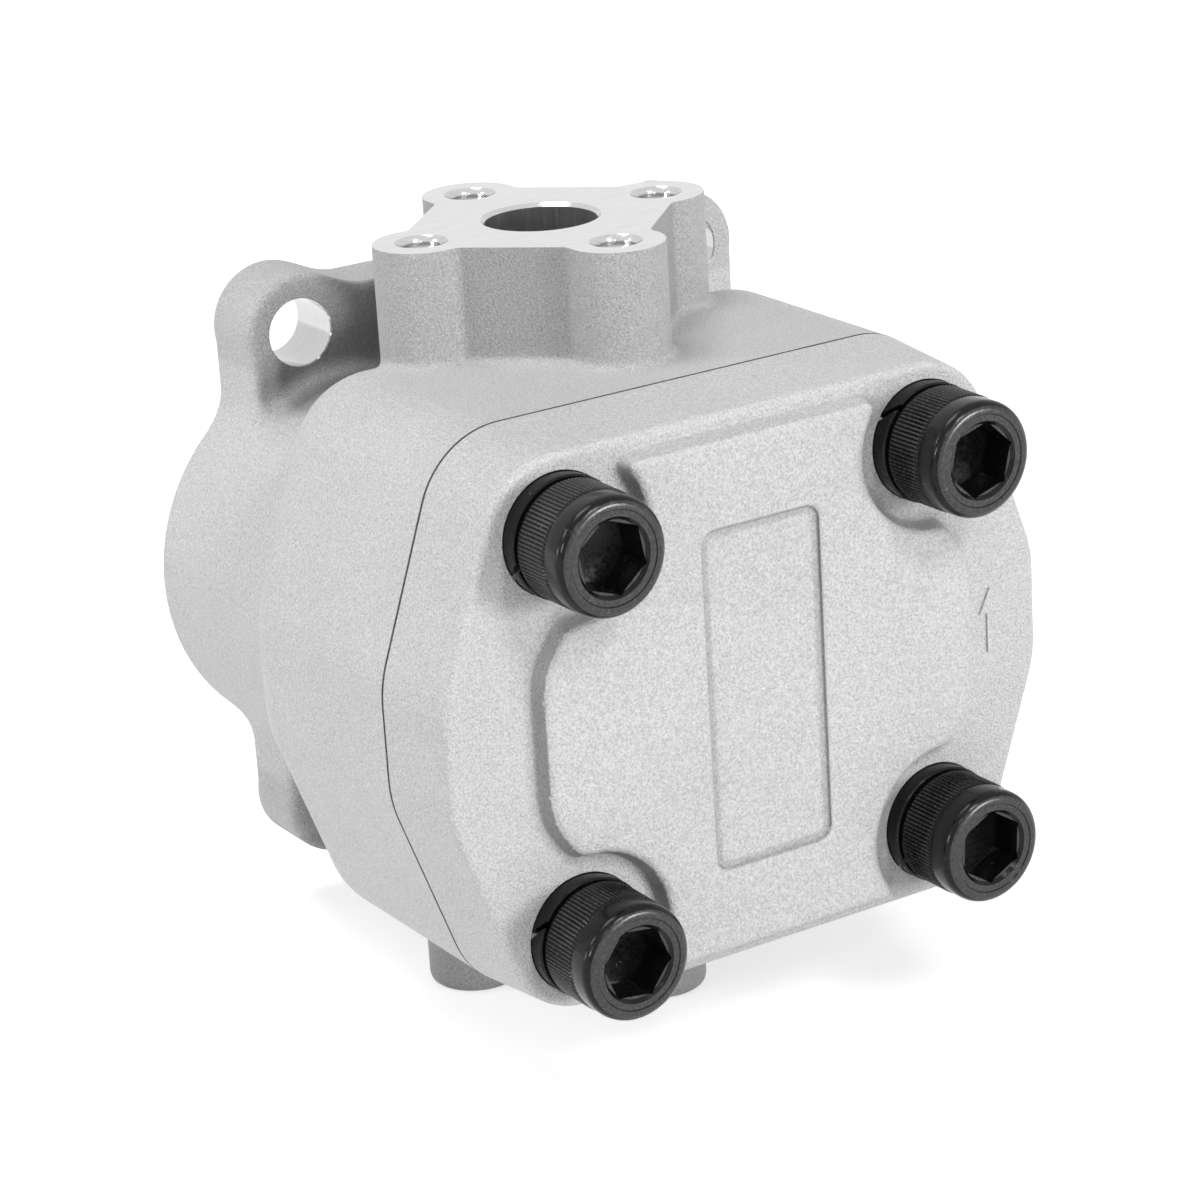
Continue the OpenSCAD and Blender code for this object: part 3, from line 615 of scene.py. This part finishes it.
def turned_metal(name, tone, metallic, rough):
    """Ground or turned metal, with fine rings round its axis."""
    mat, nt, bsdf = new_material(name)
    rings = noise(nt, stretched(nt, (1.0, 30.0, 1.0)), 180.0, 2.0)
    shade = varied(nt, rings, 0.93, 1.05)
    nt.links.new(tinted(nt, shade, tone), bsdf.inputs["Base Color"])
    bsdf.inputs["Metallic"].default_value = metallic
    nt.links.new(varied(nt, rings, rough - 0.04, rough + 0.05), bsdf.inputs["Roughness"])
    nt.links.new(bump(nt, rings, 0.00001, 0.5), bsdf.inputs["Normal"])
    return mat


def moulded(name, tone, rough):
    """Rubber or plastic, with a fine even grain."""
    mat, nt, bsdf = new_material(name)
    grain = noise(nt, object_place(nt), 1400.0, 2.0)
    shade = varied(nt, grain, 0.9, 1.1)
    nt.links.new(tinted(nt, shade, tone), bsdf.inputs["Base Color"])
    bsdf.inputs["Roughness"].default_value = rough
    nt.links.new(bump(nt, grain, 0.00002, 0.4), bsdf.inputs["Normal"])
    return mat


# the castings
# how a cut face is told from cast skin: it leans away from the field's slope, or lies deep inside
SKIN_COSINE, DEEP, BORED_DEPTH = 0.93, 0.6, 1.0
# how far off the skin it is at least; more for the cover, where the washers' seats are nearly skin
BODY_LEAST, COVER_LEAST = 0.08, 0.35
# a face so near to one of the outer machined planes isn't a bore's
PLANE_GAP = 0.05
# the joint's chamfers, and the strip and the slopes by which their faces are found
BODY_CHAMFER, COVER_CHAMFER, JOINT_STRIP, CHAMFER_SLOPES = 0.2, 0.32, 0.35, (0.35, 0.95)


def corners(span_x, span_z, middle=0.0):
    """The four corners of a rectangle round the middle, seen along Y."""
    return [(middle + sx * span_x, sz * span_z) for sx in (-1, 1) for sz in (-1, 1)]


EARS = corners(EAR_X, EAR_Z)
SCREWS = corners(SCREW_X, SCREW_Z, MID_X)
DOWELS = [(MID_X - DOWEL_X, 0), (MID_X + DOWEL_X, 0)]


def bar(radius, low, high):
    """Profile of a plain cylinder."""
    return [(0, low), (radius, low), (radius, high), (0, high)]


def mouth(radius, face, sign, chamfer):
    """The end of a cutter's profile that leaves a face, towards sign, with a chamfer round the hole."""
    return [(radius, face - sign * chamfer), (radius + chamfer + OVER, face + sign * OVER),
            (0, face + sign * OVER)]


def tapped_hole(top, sign):
    """Profile of a port screw hole's cutter, from its mouth inwards, with grooves for the thread."""
    radius, depth, chamfer, lip = PORT_THREAD_R, PORT_THREAD_DEPTH, PORT_CHAMFER, 0.15
    pitch, crest, root, groove = 1.25, 0.2, (0.55, 0.65), 0.55
    point_r, cone = 0.2, 0.6
    points = [(0, top + sign * OVER), (radius + chamfer + OVER, top + sign * OVER),
              (radius + lip, top - sign * (chamfer - lip))]
    for k in range(int((depth - chamfer) / pitch)):
        start = top - sign * (chamfer + k * pitch)
        points.append((radius, start - sign * crest))
        points += [(radius + groove, start - sign * pitch * part) for part in root]
    end = top - sign * depth
    tip = end - sign * radius * cone
    return points + [(radius, end), (point_r, tip), (0, tip)]


def port_cutters(sign):
    """The bore and the four screw holes of the upper (1) or the lower (-1) port."""
    top = PORT_TOP if sign > 0 else PORT_BOTTOM
    inner_end, floor = sign * PORT_NECK_END, top - sign * PORT_DEPTH
    bore = [(0, inner_end), (PORT_NECK_R, inner_end), (PORT_NECK_R, floor), (PORT_BORE_R, floor)]
    cutters = [lathe(bore + mouth(PORT_BORE_R, top, sign, PORT_MOUTH), along_z, (MID_X, PORT_Y))]
    for k in range(4):
        a = k * math.pi / 2
        where = (MID_X + PORT_PCD / 2 * math.cos(a), PORT_Y + PORT_PCD / 2 * math.sin(a))
        cutters.append(lathe(tapped_hole(top, sign), along_z, where, 48))
    return cutters


def round_both_axes(r, a0, a1, n):
    """Plan of two arcs of the radius round the gear axes. The first runs from a0 to a1."""
    return arc(0, 0, r, a0, a1, n) + arc(-CENTRES, 0, r, a0 + math.pi, a1 + math.pi, n)


def figure_eight(r):
    """Plan of two overlapping circles of the radius, round the gear axes."""
    reach = math.acos(CENTRES / 2 / r)
    return round_both_axes(r, reach - math.pi, math.pi - reach, 40)


def seal_track():
    """Cutter for the seal's racetrack groove in the joint face."""
    outer, inner = TRACK_R + TRACK_HALF_W, TRACK_R - TRACK_HALF_W
    start, floor = JOINT_Y - OVER, JOINT_Y + TRACK_DEPTH
    section = [(outer, start), (outer, floor), (inner, floor), (inner, start)]
    return ring([[(u, y, v) for u, v in round_both_axes(r, -math.pi / 2, math.pi / 2, 32)]
                 for r, y in section])


def chamfer_ring(width, sign):
    """Cutter for the small chamfer round the joint. Sign is the way the casting lies from the joint."""
    lap, outside = 0.01, -2.0
    start = JOINT_Y - sign * lap
    return ring_along([(width, start), (outside, start), (outside, JOINT_Y + sign * (width - outside))])


def pilot():
    """The pilot with its O-ring's groove. It starts a little inside the flange."""
    low, high = O_RING_GROOVE_Y
    foot = 0.5
    return lathe([(0, -2 * foot), (PILOT_R - foot, -2 * foot), (PILOT_R, -foot), (PILOT_R, low),
                  (O_RING_GROOVE_R, low), (O_RING_GROOVE_R, high), (PILOT_R, high),
                  (PILOT_R, PILOT_H - PILOT_CHAMFER), (PILOT_R - PILOT_CHAMFER, PILOT_H), (0, PILOT_H)],
                 along_y, (0, 0), 160)


def seal_bore():
    """Cutter for the shaft's way out, from the chamber through the seal's bore to the pilot's face."""
    start, (low, high) = CHAMBER_Y1 - OVER, CIRCLIP_GROOVE_Y
    groove_r = SEAL_BORE_R + CIRCLIP_GROOVE_DEPTH
    profile = [(0, start), (WALL_HOLE_R, start), (WALL_HOLE_R, SEAL_FLOOR_Y), (SEAL_BORE_R, SEAL_FLOOR_Y),
               (SEAL_BORE_R, low), (groove_r, low), (groove_r, high), (SEAL_BORE_R, high)]
    return lathe(profile + mouth(SEAL_BORE_R, PILOT_H, 1, SEAL_MOUTH), along_y, (0, 0), 128)


def make_body():
    mesh = to_mesh("pump_body_look", *skin(body_field, *BODY_SPACE, VOXEL_BODY))
    faces = [block((-FAR, JOINT_Y - FAR, -FAR), (FAR, JOINT_Y, FAR)),
             block((-FAR, 0, -FAR), (FAR, FAR, FAR)),
             block((-FAR, JOINT_Y + OVER, PORT_TOP), (FAR, -OVER, FAR))]
    ear_hole = mouth(EAR_HOLE_R, -FLANGE_T, -1, EAR_FRONT_MOUTH)[::-1]
    ear_hole += mouth(EAR_HOLE_R, 0, 1, EAR_BACK_MOUTH)
    start = JOINT_Y - OVER
    screw_hole = [(0, start), (SCREW_HOLE_R, start), (SCREW_HOLE_R, SCREW_HOLE_END_Y), (0, SCREW_HOLE_TIP_Y)]
    dowel_hole = bar(DOWEL_R, start, JOINT_Y + DOWEL_DEPTH)
    drilled = port_cutters(1) + port_cutters(-1)
    drilled += [lathe(ear_hole, along_y, at, 64) for at in EARS]
    drilled += [lathe(screw_hole, along_y, at, 48) for at in SCREWS]
    drilled += [lathe(dowel_hole, along_y, at, 48) for at in DOWELS]
    chamber = slab(figure_eight(CHAMBER_R), along_y, start, CHAMBER_Y1)
    mesh = carve("pump_body_look", mesh, [
        ("DIFFERENCE", faces), ("UNION", [pilot()]), ("DIFFERENCE", drilled), ("DIFFERENCE", [chamber]),
        ("DIFFERENCE", [seal_bore()]), ("DIFFERENCE", [seal_track()]),
        ("DIFFERENCE", [chamfer_ring(BODY_CHAMFER, 1)])])
    dress(mesh, body_field, body_marks, BODY_LEAST)
    return mesh


def make_cover():
    mesh = to_mesh("end_cover_look", *skin(cover_field, *COVER_SPACE, VOXEL_COVER))
    arrow = slab([(ARROW_X + u, v) for u, v in ARROW], along_y, FACE_Y - ARROW_H, FACE_Y + OVER)
    inner_side = block((-FAR, JOINT_Y, -FAR), (FAR, FAR, FAR))
    start, end, seat_r = PANEL_Y - OVER, JOINT_Y + OVER, WASHER_R + SEAT_GAP
    screw_hole = [(0, start), (seat_r, start), (seat_r, SEAT_Y), (SCREW_CLEAR_R, SEAT_Y),
                  (SCREW_CLEAR_R, end), (0, end)]
    holes = [lathe(screw_hole, along_y, at, 96) for at in SCREWS]
    holes += [lathe(bar(DOWEL_R, JOINT_Y - DOWEL_DEPTH, end), along_y, at, 48) for at in DOWELS]
    mesh = carve("end_cover_look", mesh, [
        ("UNION", [arrow]), ("DIFFERENCE", [inner_side]), ("DIFFERENCE", holes),
        ("DIFFERENCE", [chamfer_ring(COVER_CHAMFER, -1)])])
    dress(mesh, cover_field, cover_marks, COVER_LEAST)
    return mesh


def dress(mesh, field, marks, least):
    """Gives a casting its materials: cast skin, machined where it was cut, and the joint's line."""
    add_hollows(mesh, field, marks)
    centre, normal = per_face(mesh, "center"), per_face(mesh, "normal")
    x, y, z = centre.T
    off = field(x, y, z)
    along = (unit(gradient(field, centre)) * normal).sum(1)
    machined = ((np.abs(off) > least) & (along < SKIN_COSINE)) | (off < -DEEP)
    outer = (z > PORT_TOP - PLANE_GAP) | (z < PORT_BOTTOM + PLANE_GAP) | (y > -PLANE_GAP)
    bored = machined & (off < -BORED_DEPTH) & ~outer
    slope = np.abs(normal[:, 1])
    chamfered = (slope > CHAMFER_SLOPES[0]) & (slope < CHAMFER_SLOPES[1])
    at_edge = np.abs(polygon(x - MID_X, z, OUTLINE)) < JOINT_STRIP
    joint = (np.abs(y - JOINT_Y) < JOINT_STRIP) & at_edge & chamfered
    wear(mesh, ("cast", "machined", "joint", "bored"))
    index = np.select([joint, bored, machined], [2, 3, 1], 0)
    mesh.polygons.foreach_set("material_index", index.astype(np.int32))


def wear(mesh, keys):
    """Gives a mesh these materials in place of its own."""
    mesh.materials.clear()
    for key in keys:
        mesh.materials.append(MATERIALS[key])


# screws and washers
# the head's plain part, from its end face to the knurled band: its share of the height and its radius
PLAIN_SHARE, PLAIN_R, PLAIN_STEP = 0.36, HEAD_R - 0.14, 0.5
BAND_Y, VALLEY_R = HEAD_Y + PLAIN_SHARE * (WASHER_Y - HEAD_Y), HEAD_R - KNURL_DEPTH
# the chamfer at the head's foot: how far in it starts and ends, and its height; the knurl starts above it
FOOT_IN, FOOT_OUT, FOOT_H, KNURL_START = 0.9, 0.42, 0.45, 0.6
# a ridge's height in four steps round the head, and how much of it is there at the band's two ends
KNURL_ROWS, KNURL_WAVE, KNURL_LEAST = 14, (0.0, 0.6, 1.0, 0.6), 0.15
# the rounding between the plain part and the end face, and the end face's rim
ROUND_R, ROUND_H, ROUND_GAP, ROUND_STEPS = 1.45, 1.5, 0.3, 8
RIM_W, RIM_STEP = 0.5, 0.15
# the socket: its mouth's chamfer inside the hexagon's corners, and the drilled end inside its flats
MOUTH_IN, MOUTH_DEPTH, DRILL_IN, DRILL_POINT = 0.35, 0.7, 0.3, 1.6
TIP_CHAMFER = 1.2
# how much of a ridge's height is painted pale for wear and sheen, and the end face's slope and depth
WORN_SHEEN_SHARE, WORN_SHEEN_SLOPE, WORN_SHEEN_DEPTH = 0.7, -0.85, 1.0


def screw_head():
    """The knurled head without its socket, from the washer to the end face."""
    profile = [(0, WASHER_Y), (HEAD_R - FOOT_IN, WASHER_Y), (HEAD_R - FOOT_OUT, WASHER_Y - FOOT_H)]
    first, last = len(profile), len(profile) + KNURL_ROWS
    start = WASHER_Y - KNURL_START
    profile += [(VALLEY_R, start + (BAND_Y - start) * i / KNURL_ROWS) for i in range(KNURL_ROWS + 1)]
    profile += [(PLAIN_R, BAND_Y - PLAIN_STEP), (PLAIN_R, HEAD_Y + ROUND_H + ROUND_GAP)]
    for i in range(ROUND_STEPS + 1):
        a = math.pi / 2 * i / ROUND_STEPS
        profile.append((PLAIN_R - ROUND_R + ROUND_R * math.cos(a), HEAD_Y + ROUND_H * (1 - math.sin(a))))
    inner = PLAIN_R - ROUND_R - RIM_W
    profile += [(inner + RIM_STEP, HEAD_Y), (inner, HEAD_Y + RIM_STEP), (0, HEAD_Y + RIM_STEP)]

    def knurl(k, i):
        if not first <= k <= last:
            return 0.0
        full = min(1, k - first, last - k)
        return KNURL_DEPTH * KNURL_WAVE[i % len(KNURL_WAVE)] * (KNURL_LEAST + (1 - KNURL_LEAST) * full)

    return lathe(profile, along_y, (0, 0), KNURLS * len(KNURL_WAVE), knurl)


def socket_cutters():
    """The hexagon, the chamfer at its mouth and the drill's end."""
    across, start, floor = SOCKET_AF / math.sqrt(3), HEAD_Y - OVER, HEAD_Y + SOCKET_DEPTH
    angles = [math.radians(60 * k) for k in range(6)]
    hexagon = slab([(across * math.cos(a), across * math.sin(a)) for a in angles], along_y, start, floor)
    inner, end = across - MOUTH_IN, HEAD_Y + MOUTH_DEPTH
    chamfer = [(0, start), (inner + MOUTH_DEPTH + OVER, start), (inner, end), (0, end)]
    drill_r = SOCKET_AF / 2 - DRILL_IN
    drill = [(0, floor - OVER), (drill_r, floor - OVER), (drill_r, floor), (0, floor + DRILL_POINT)]
    return [hexagon, lathe(chamfer, along_y, (0, 0), 96), lathe(drill, along_y, (0, 0), 48)]


def make_screw():
    """Socket head cap screw on the Y axis, pale on its end face and the ridges of its knurl, from wear and a
    painted sheen.
    """
    start = WASHER_Y - OVER
    shank = lathe([(0, start), (SCREW_R, start), (SCREW_R, SCREW_TIP_Y - TIP_CHAMFER),
                   (SCREW_R - TIP_CHAMFER, SCREW_TIP_Y), (0, SCREW_TIP_Y)], along_y, (0, 0), 64)
    mesh = carve("cover_screw_look", to_mesh("cover_screw_look", *screw_head()),
                 [("UNION", [shank])] + [("DIFFERENCE", [cutter]) for cutter in socket_cutters()])
    wear(mesh, ("black", "worn_sheen"))
    x, y, z = per_face(mesh, "center").T
    # the end face and the knurl's ridges take the pale material: wear and a painted sheen
    face = (per_face(mesh, "normal")[:, 1] < WORN_SHEEN_SLOPE) & (y < HEAD_Y + WORN_SHEEN_DEPTH)
    ridge = (np.hypot(x, z) > VALLEY_R + WORN_SHEEN_SHARE * KNURL_DEPTH) & (y > BAND_Y)
    mesh.polygons.foreach_set("material_index", (face | ridge).astype(np.int32))
    return mesh


def make_washer(split):
    """Spring washer pressed flat and split, with slanted ends. The angles are in radians, round Y."""
    n, slant, gap, edge = 150, 0.16, 0.06, 0.25
    inner, outer, low, high = WASHER_BORE_R, WASHER_R, WASHER_Y, SEAT_Y
    section = [(inner + edge, low), (outer - edge, low), (outer, low + edge), (outer, high - edge),
               (outer - edge, high), (inner + edge, high), (inner, high - edge), (inner, low + edge)]
    verts, m = [], len(section)
    for i in range(n + 1):
        for r, y in section:
            lean = slant * (y - (low + high) / 2) / (high - low) * 2
            a = split + gap + lean + (2 * math.pi - 2 * gap) * i / n
            verts.append((r * math.cos(a), y, r * math.sin(a)))
    faces = [(i * m + k, i * m + (k + 1) % m, (i + 1) * m + (k + 1) % m, (i + 1) * m + k)
             for i in range(n) for k in range(m)]
    faces += [tuple(range(m)), tuple(n * m + k for k in reversed(range(m)))]
    return outward(to_mesh("lock_washer_look", verts, faces))


def shown(name, mesh, stands_for, at=(0, 0), turn=0.0, sharp=32.0):
    """Makes a piece of the housing's body from a mesh in millimetres.

    Turn is about Y and in radians. Edges that bend by more than sharp, in degrees, stay sharp."""
    if turn:
        mesh.transform(Matrix.Rotation(turn, 4, "Y"))
    mesh.transform(Matrix.Translation((at[0], 0, at[1])))
    mesh.transform(Matrix.Diagonal((MM, MM, MM, 1)))
    for face in mesh.polygons:
        face.use_smooth = True
    mesh.set_sharp_from_angle(angle=math.radians(sharp))
    obj = to_object(name, mesh)
    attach(obj, "housing")
    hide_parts(stands_for)


MATERIALS = {
    "cast": cast_aluminium(),
    "machined": machined_aluminium(),
    "joint": joint_line(),
    "black": black_oxide("black_oxide", (0.004, 0.012), 0.2, 0.24, (0.12, 0.24)),
    # paler black oxide for the screws' end faces and knurl ridges: wear and a painted sheen
    "worn_sheen": black_oxide("worn_sheen_black_oxide", (0.02, 0.045), 0.25, 0.55, (0.18, 0.32)),
    "gear": turned_metal("gear_steel", (0.46, 0.46, 0.48), 0.9, 0.26),
    "block": turned_metal("block_aluminium", (0.66, 0.66, 0.67), 0.8, 0.34),
    "bored": turned_metal("bored_aluminium", (0.62, 0.62, 0.63), 0.9, 0.16),
    "bronze": turned_metal("bush_bronze", (0.52, 0.33, 0.15), 0.9, 0.32),
    "pressed": turned_metal("pressed_steel", (0.38, 0.38, 0.40), 0.85, 0.35),
    "spring": turned_metal("spring_steel", (0.10, 0.10, 0.105), 0.7, 0.38),
    "rubber": moulded("seal_rubber", (0.018, 0.018, 0.018), 0.55),
    "plastic": moulded("backup_plastic", (0.70, 0.68, 0.60), 0.45),
}

shown("pump_body_look", make_body(), "pump_body")
shown("end_cover_look", make_cover(), "end_cover")

# side, height, turn of the screw and place of the washer's split, in degrees
SCREW_PLACES = {
    "upper_left": (-1, 1, 20, 205), "upper_right": (1, 1, 44, 140),
    "lower_left": (-1, -1, 8, 160), "lower_right": (1, -1, 33, 215),
}
screw = make_screw()
for name, (sx, sz, turn, split) in SCREW_PLACES.items():
    at = (MID_X + sx * SCREW_X, sz * SCREW_Z)
    shown(f"cover_screw_{name}_look", screw.copy(), f"cover_screw_{name}",
          at, math.radians(turn), 28.0)
    washer = make_washer(math.radians(split))
    wear(washer, ("black",))
    shown(f"lock_washer_{name}_look", washer, f"lock_washer_{name}", at)

# the CAD nodes that stay get their finish
FINISH = {
    "drive_gear_shaft": "gear", "driven_gear_shaft": "gear",
    "cover_end_bearing_block": "block", "flange_end_bearing_block": "block",
    "cover_end_drive_bush": "bronze", "cover_end_driven_bush": "bronze",
    "flange_end_drive_bush": "bronze", "flange_end_driven_bush": "bronze",
    "cover_end_pressure_seal": "rubber", "flange_end_pressure_seal": "rubber",
    "cover_end_backup_ring": "plastic", "flange_end_backup_ring": "plastic",
    "cover_seal": "rubber", "dowel_pin_left": "gear", "dowel_pin_right": "gear",
    "shaft_seal_case": "pressed", "shaft_seal_lip": "rubber", "garter_spring": "pressed",
    "seal_retaining_ring": "spring", "pilot_o_ring": "rubber",
}
for name, key in FINISH.items():
    for s in NODES[name].material_slots:
        s.material = MATERIALS[key]


# stage, light and camera
SOFT_LEVEL, WHITE = 0.20, (1, 1, 1, 1)
FLOOR_TONE, FLOOR_HALF, FLOOR_DROP = (0.80, 0.80, 0.80, 1), 6.0, 0.0002
# the floor's glow near the part and far from it, and the distances in metres between which it changes
FLOOR_GLOW, FAR_GLOW, GLOW_NEAR, GLOW_FAR = 0.62, 0.88, 0.5, 1.6
LENS, SENSOR = 114.32, 36.0
# the camera's place in millimetres, its line of sight and its right-hand side
CAMERA_PLACE = (-307.40, -536.29, 199.71)
CAMERA_FORWARD, CAMERA_RIGHT = (0.4943, 0.8029, -0.3331), (0.8390, -0.5410, -0.0588)
TARGET = (MID_X * MM, -0.06, 0.0)
# place in metres, size in metres, power in watts
LAMPS = {
    "front_right_light": ((0.90, -2.00, 0.15), 0.5, 21.4),
    "front_high_light": ((0.10, -1.70, 1.55), 0.4, 13.3),
    "top_light": ((-0.55, 0.20, 2.05), 0.9, 16.7),
    "left_back_light": ((-1.75, 1.00, 0.25), 0.3, 3.4),
    "left_high_light": ((-1.60, 0.50, 1.10), 0.3, 4.2),
    "glint_light": ((-1.42, -0.39, 0.42), 0.20, 3.8),
    "small_glint_light": ((-0.60, -1.25, 0.90), 0.12, 1.4),
}


def seen_plainly(nt, lit, background):
    """The background shader for the camera, for reflections and through glass, and the lit one otherwise."""
    path = nt.nodes.new("ShaderNodeLightPath").outputs
    straight = math_node(nt, "MAXIMUM", path["Is Camera Ray"], path["Is Transmission Ray"])
    seen = math_node(nt, "MAXIMUM", straight, path["Is Glossy Ray"])
    return node(nt, "ShaderNodeMixShader", {0: seen, 1: lit, 2: background}).outputs[0]


def make_stage():
    """A pale floor just under the lower port. Its glow makes it white for the camera, with a shadow."""
    z = PORT_BOTTOM * MM - FLOOR_DROP
    plan = [(sx * FLOOR_HALF, sy * FLOOR_HALF, z) for sx, sy in ((-1, -1), (1, -1), (1, 1), (-1, 1))]
    floor = to_object("floor", to_mesh("floor", plan, [(0, 1, 2, 3)]))
    mat, nt, bsdf = new_material("floor")
    bsdf.inputs["Base Color"].default_value = FLOOR_TONE
    bsdf.inputs["Roughness"].default_value = 0.9
    bsdf.inputs["Specular IOR Level"].default_value = 0.1
    here = node(nt, "ShaderNodeNewGeometry").outputs["Position"]
    away = node(nt, "ShaderNodeVectorMath", {0: here}, operation="LENGTH").outputs["Value"]
    strength = spread(nt, away, GLOW_NEAR, GLOW_FAR, FLOOR_GLOW, FAR_GLOW)
    glow = node(nt, "ShaderNodeEmission", {"Color": WHITE, "Strength": strength})
    both = node(nt, "ShaderNodeAddShader", {0: bsdf.outputs[0], 1: glow.outputs[0]})
    out = next(n for n in nt.nodes if n.type == "OUTPUT_MATERIAL")
    nt.links.new(seen_plainly(nt, bsdf.outputs[0], both.outputs[0]), out.inputs[0])
    floor.data.materials.append(mat)


def make_world():
    world = bpy.data.worlds.new("studio")
    bpy.context.scene.world = world
    world.use_nodes = True
    nt = world.node_tree
    nt.nodes.clear()
    out = nt.nodes.new("ShaderNodeOutputWorld")
    soft = node(nt, "ShaderNodeBackground", {"Color": WHITE, "Strength": SOFT_LEVEL})
    white = node(nt, "ShaderNodeBackground", {"Color": WHITE, "Strength": 1.0})
    nt.links.new(seen_plainly(nt, soft.outputs[0], white.outputs[0]), out.inputs[0])


def area_light(name, at, size, power):
    data = bpy.data.lights.new(name, "AREA")
    data.shape, data.size, data.energy = "SQUARE", size, power
    obj = to_object(name, data)
    obj.location = at
    obj.rotation_euler = (Vector(TARGET) - Vector(at)).to_track_quat("-Z", "Y").to_euler()


def make_camera():
    data = bpy.data.cameras.new("camera")
    data.sensor_width, data.lens = SENSOR, LENS
    data.clip_start, data.clip_end = 0.01, 50.0
    obj = to_object("camera", data)
    forward = Vector(CAMERA_FORWARD).normalized()
    up = Vector(CAMERA_RIGHT).cross(forward).normalized()
    turn = Matrix((forward.cross(up), up, -forward)).transposed().to_4x4()
    obj.matrix_world = Matrix.Translation(Vector(CAMERA_PLACE) * MM) @ turn
    bpy.context.scene.camera = obj


make_stage()
make_world()
for name, (at, size, power) in LAMPS.items():
    area_light(name, at, size, power)
make_camera()
bpy.context.scene.view_settings.view_transform = "Standard"
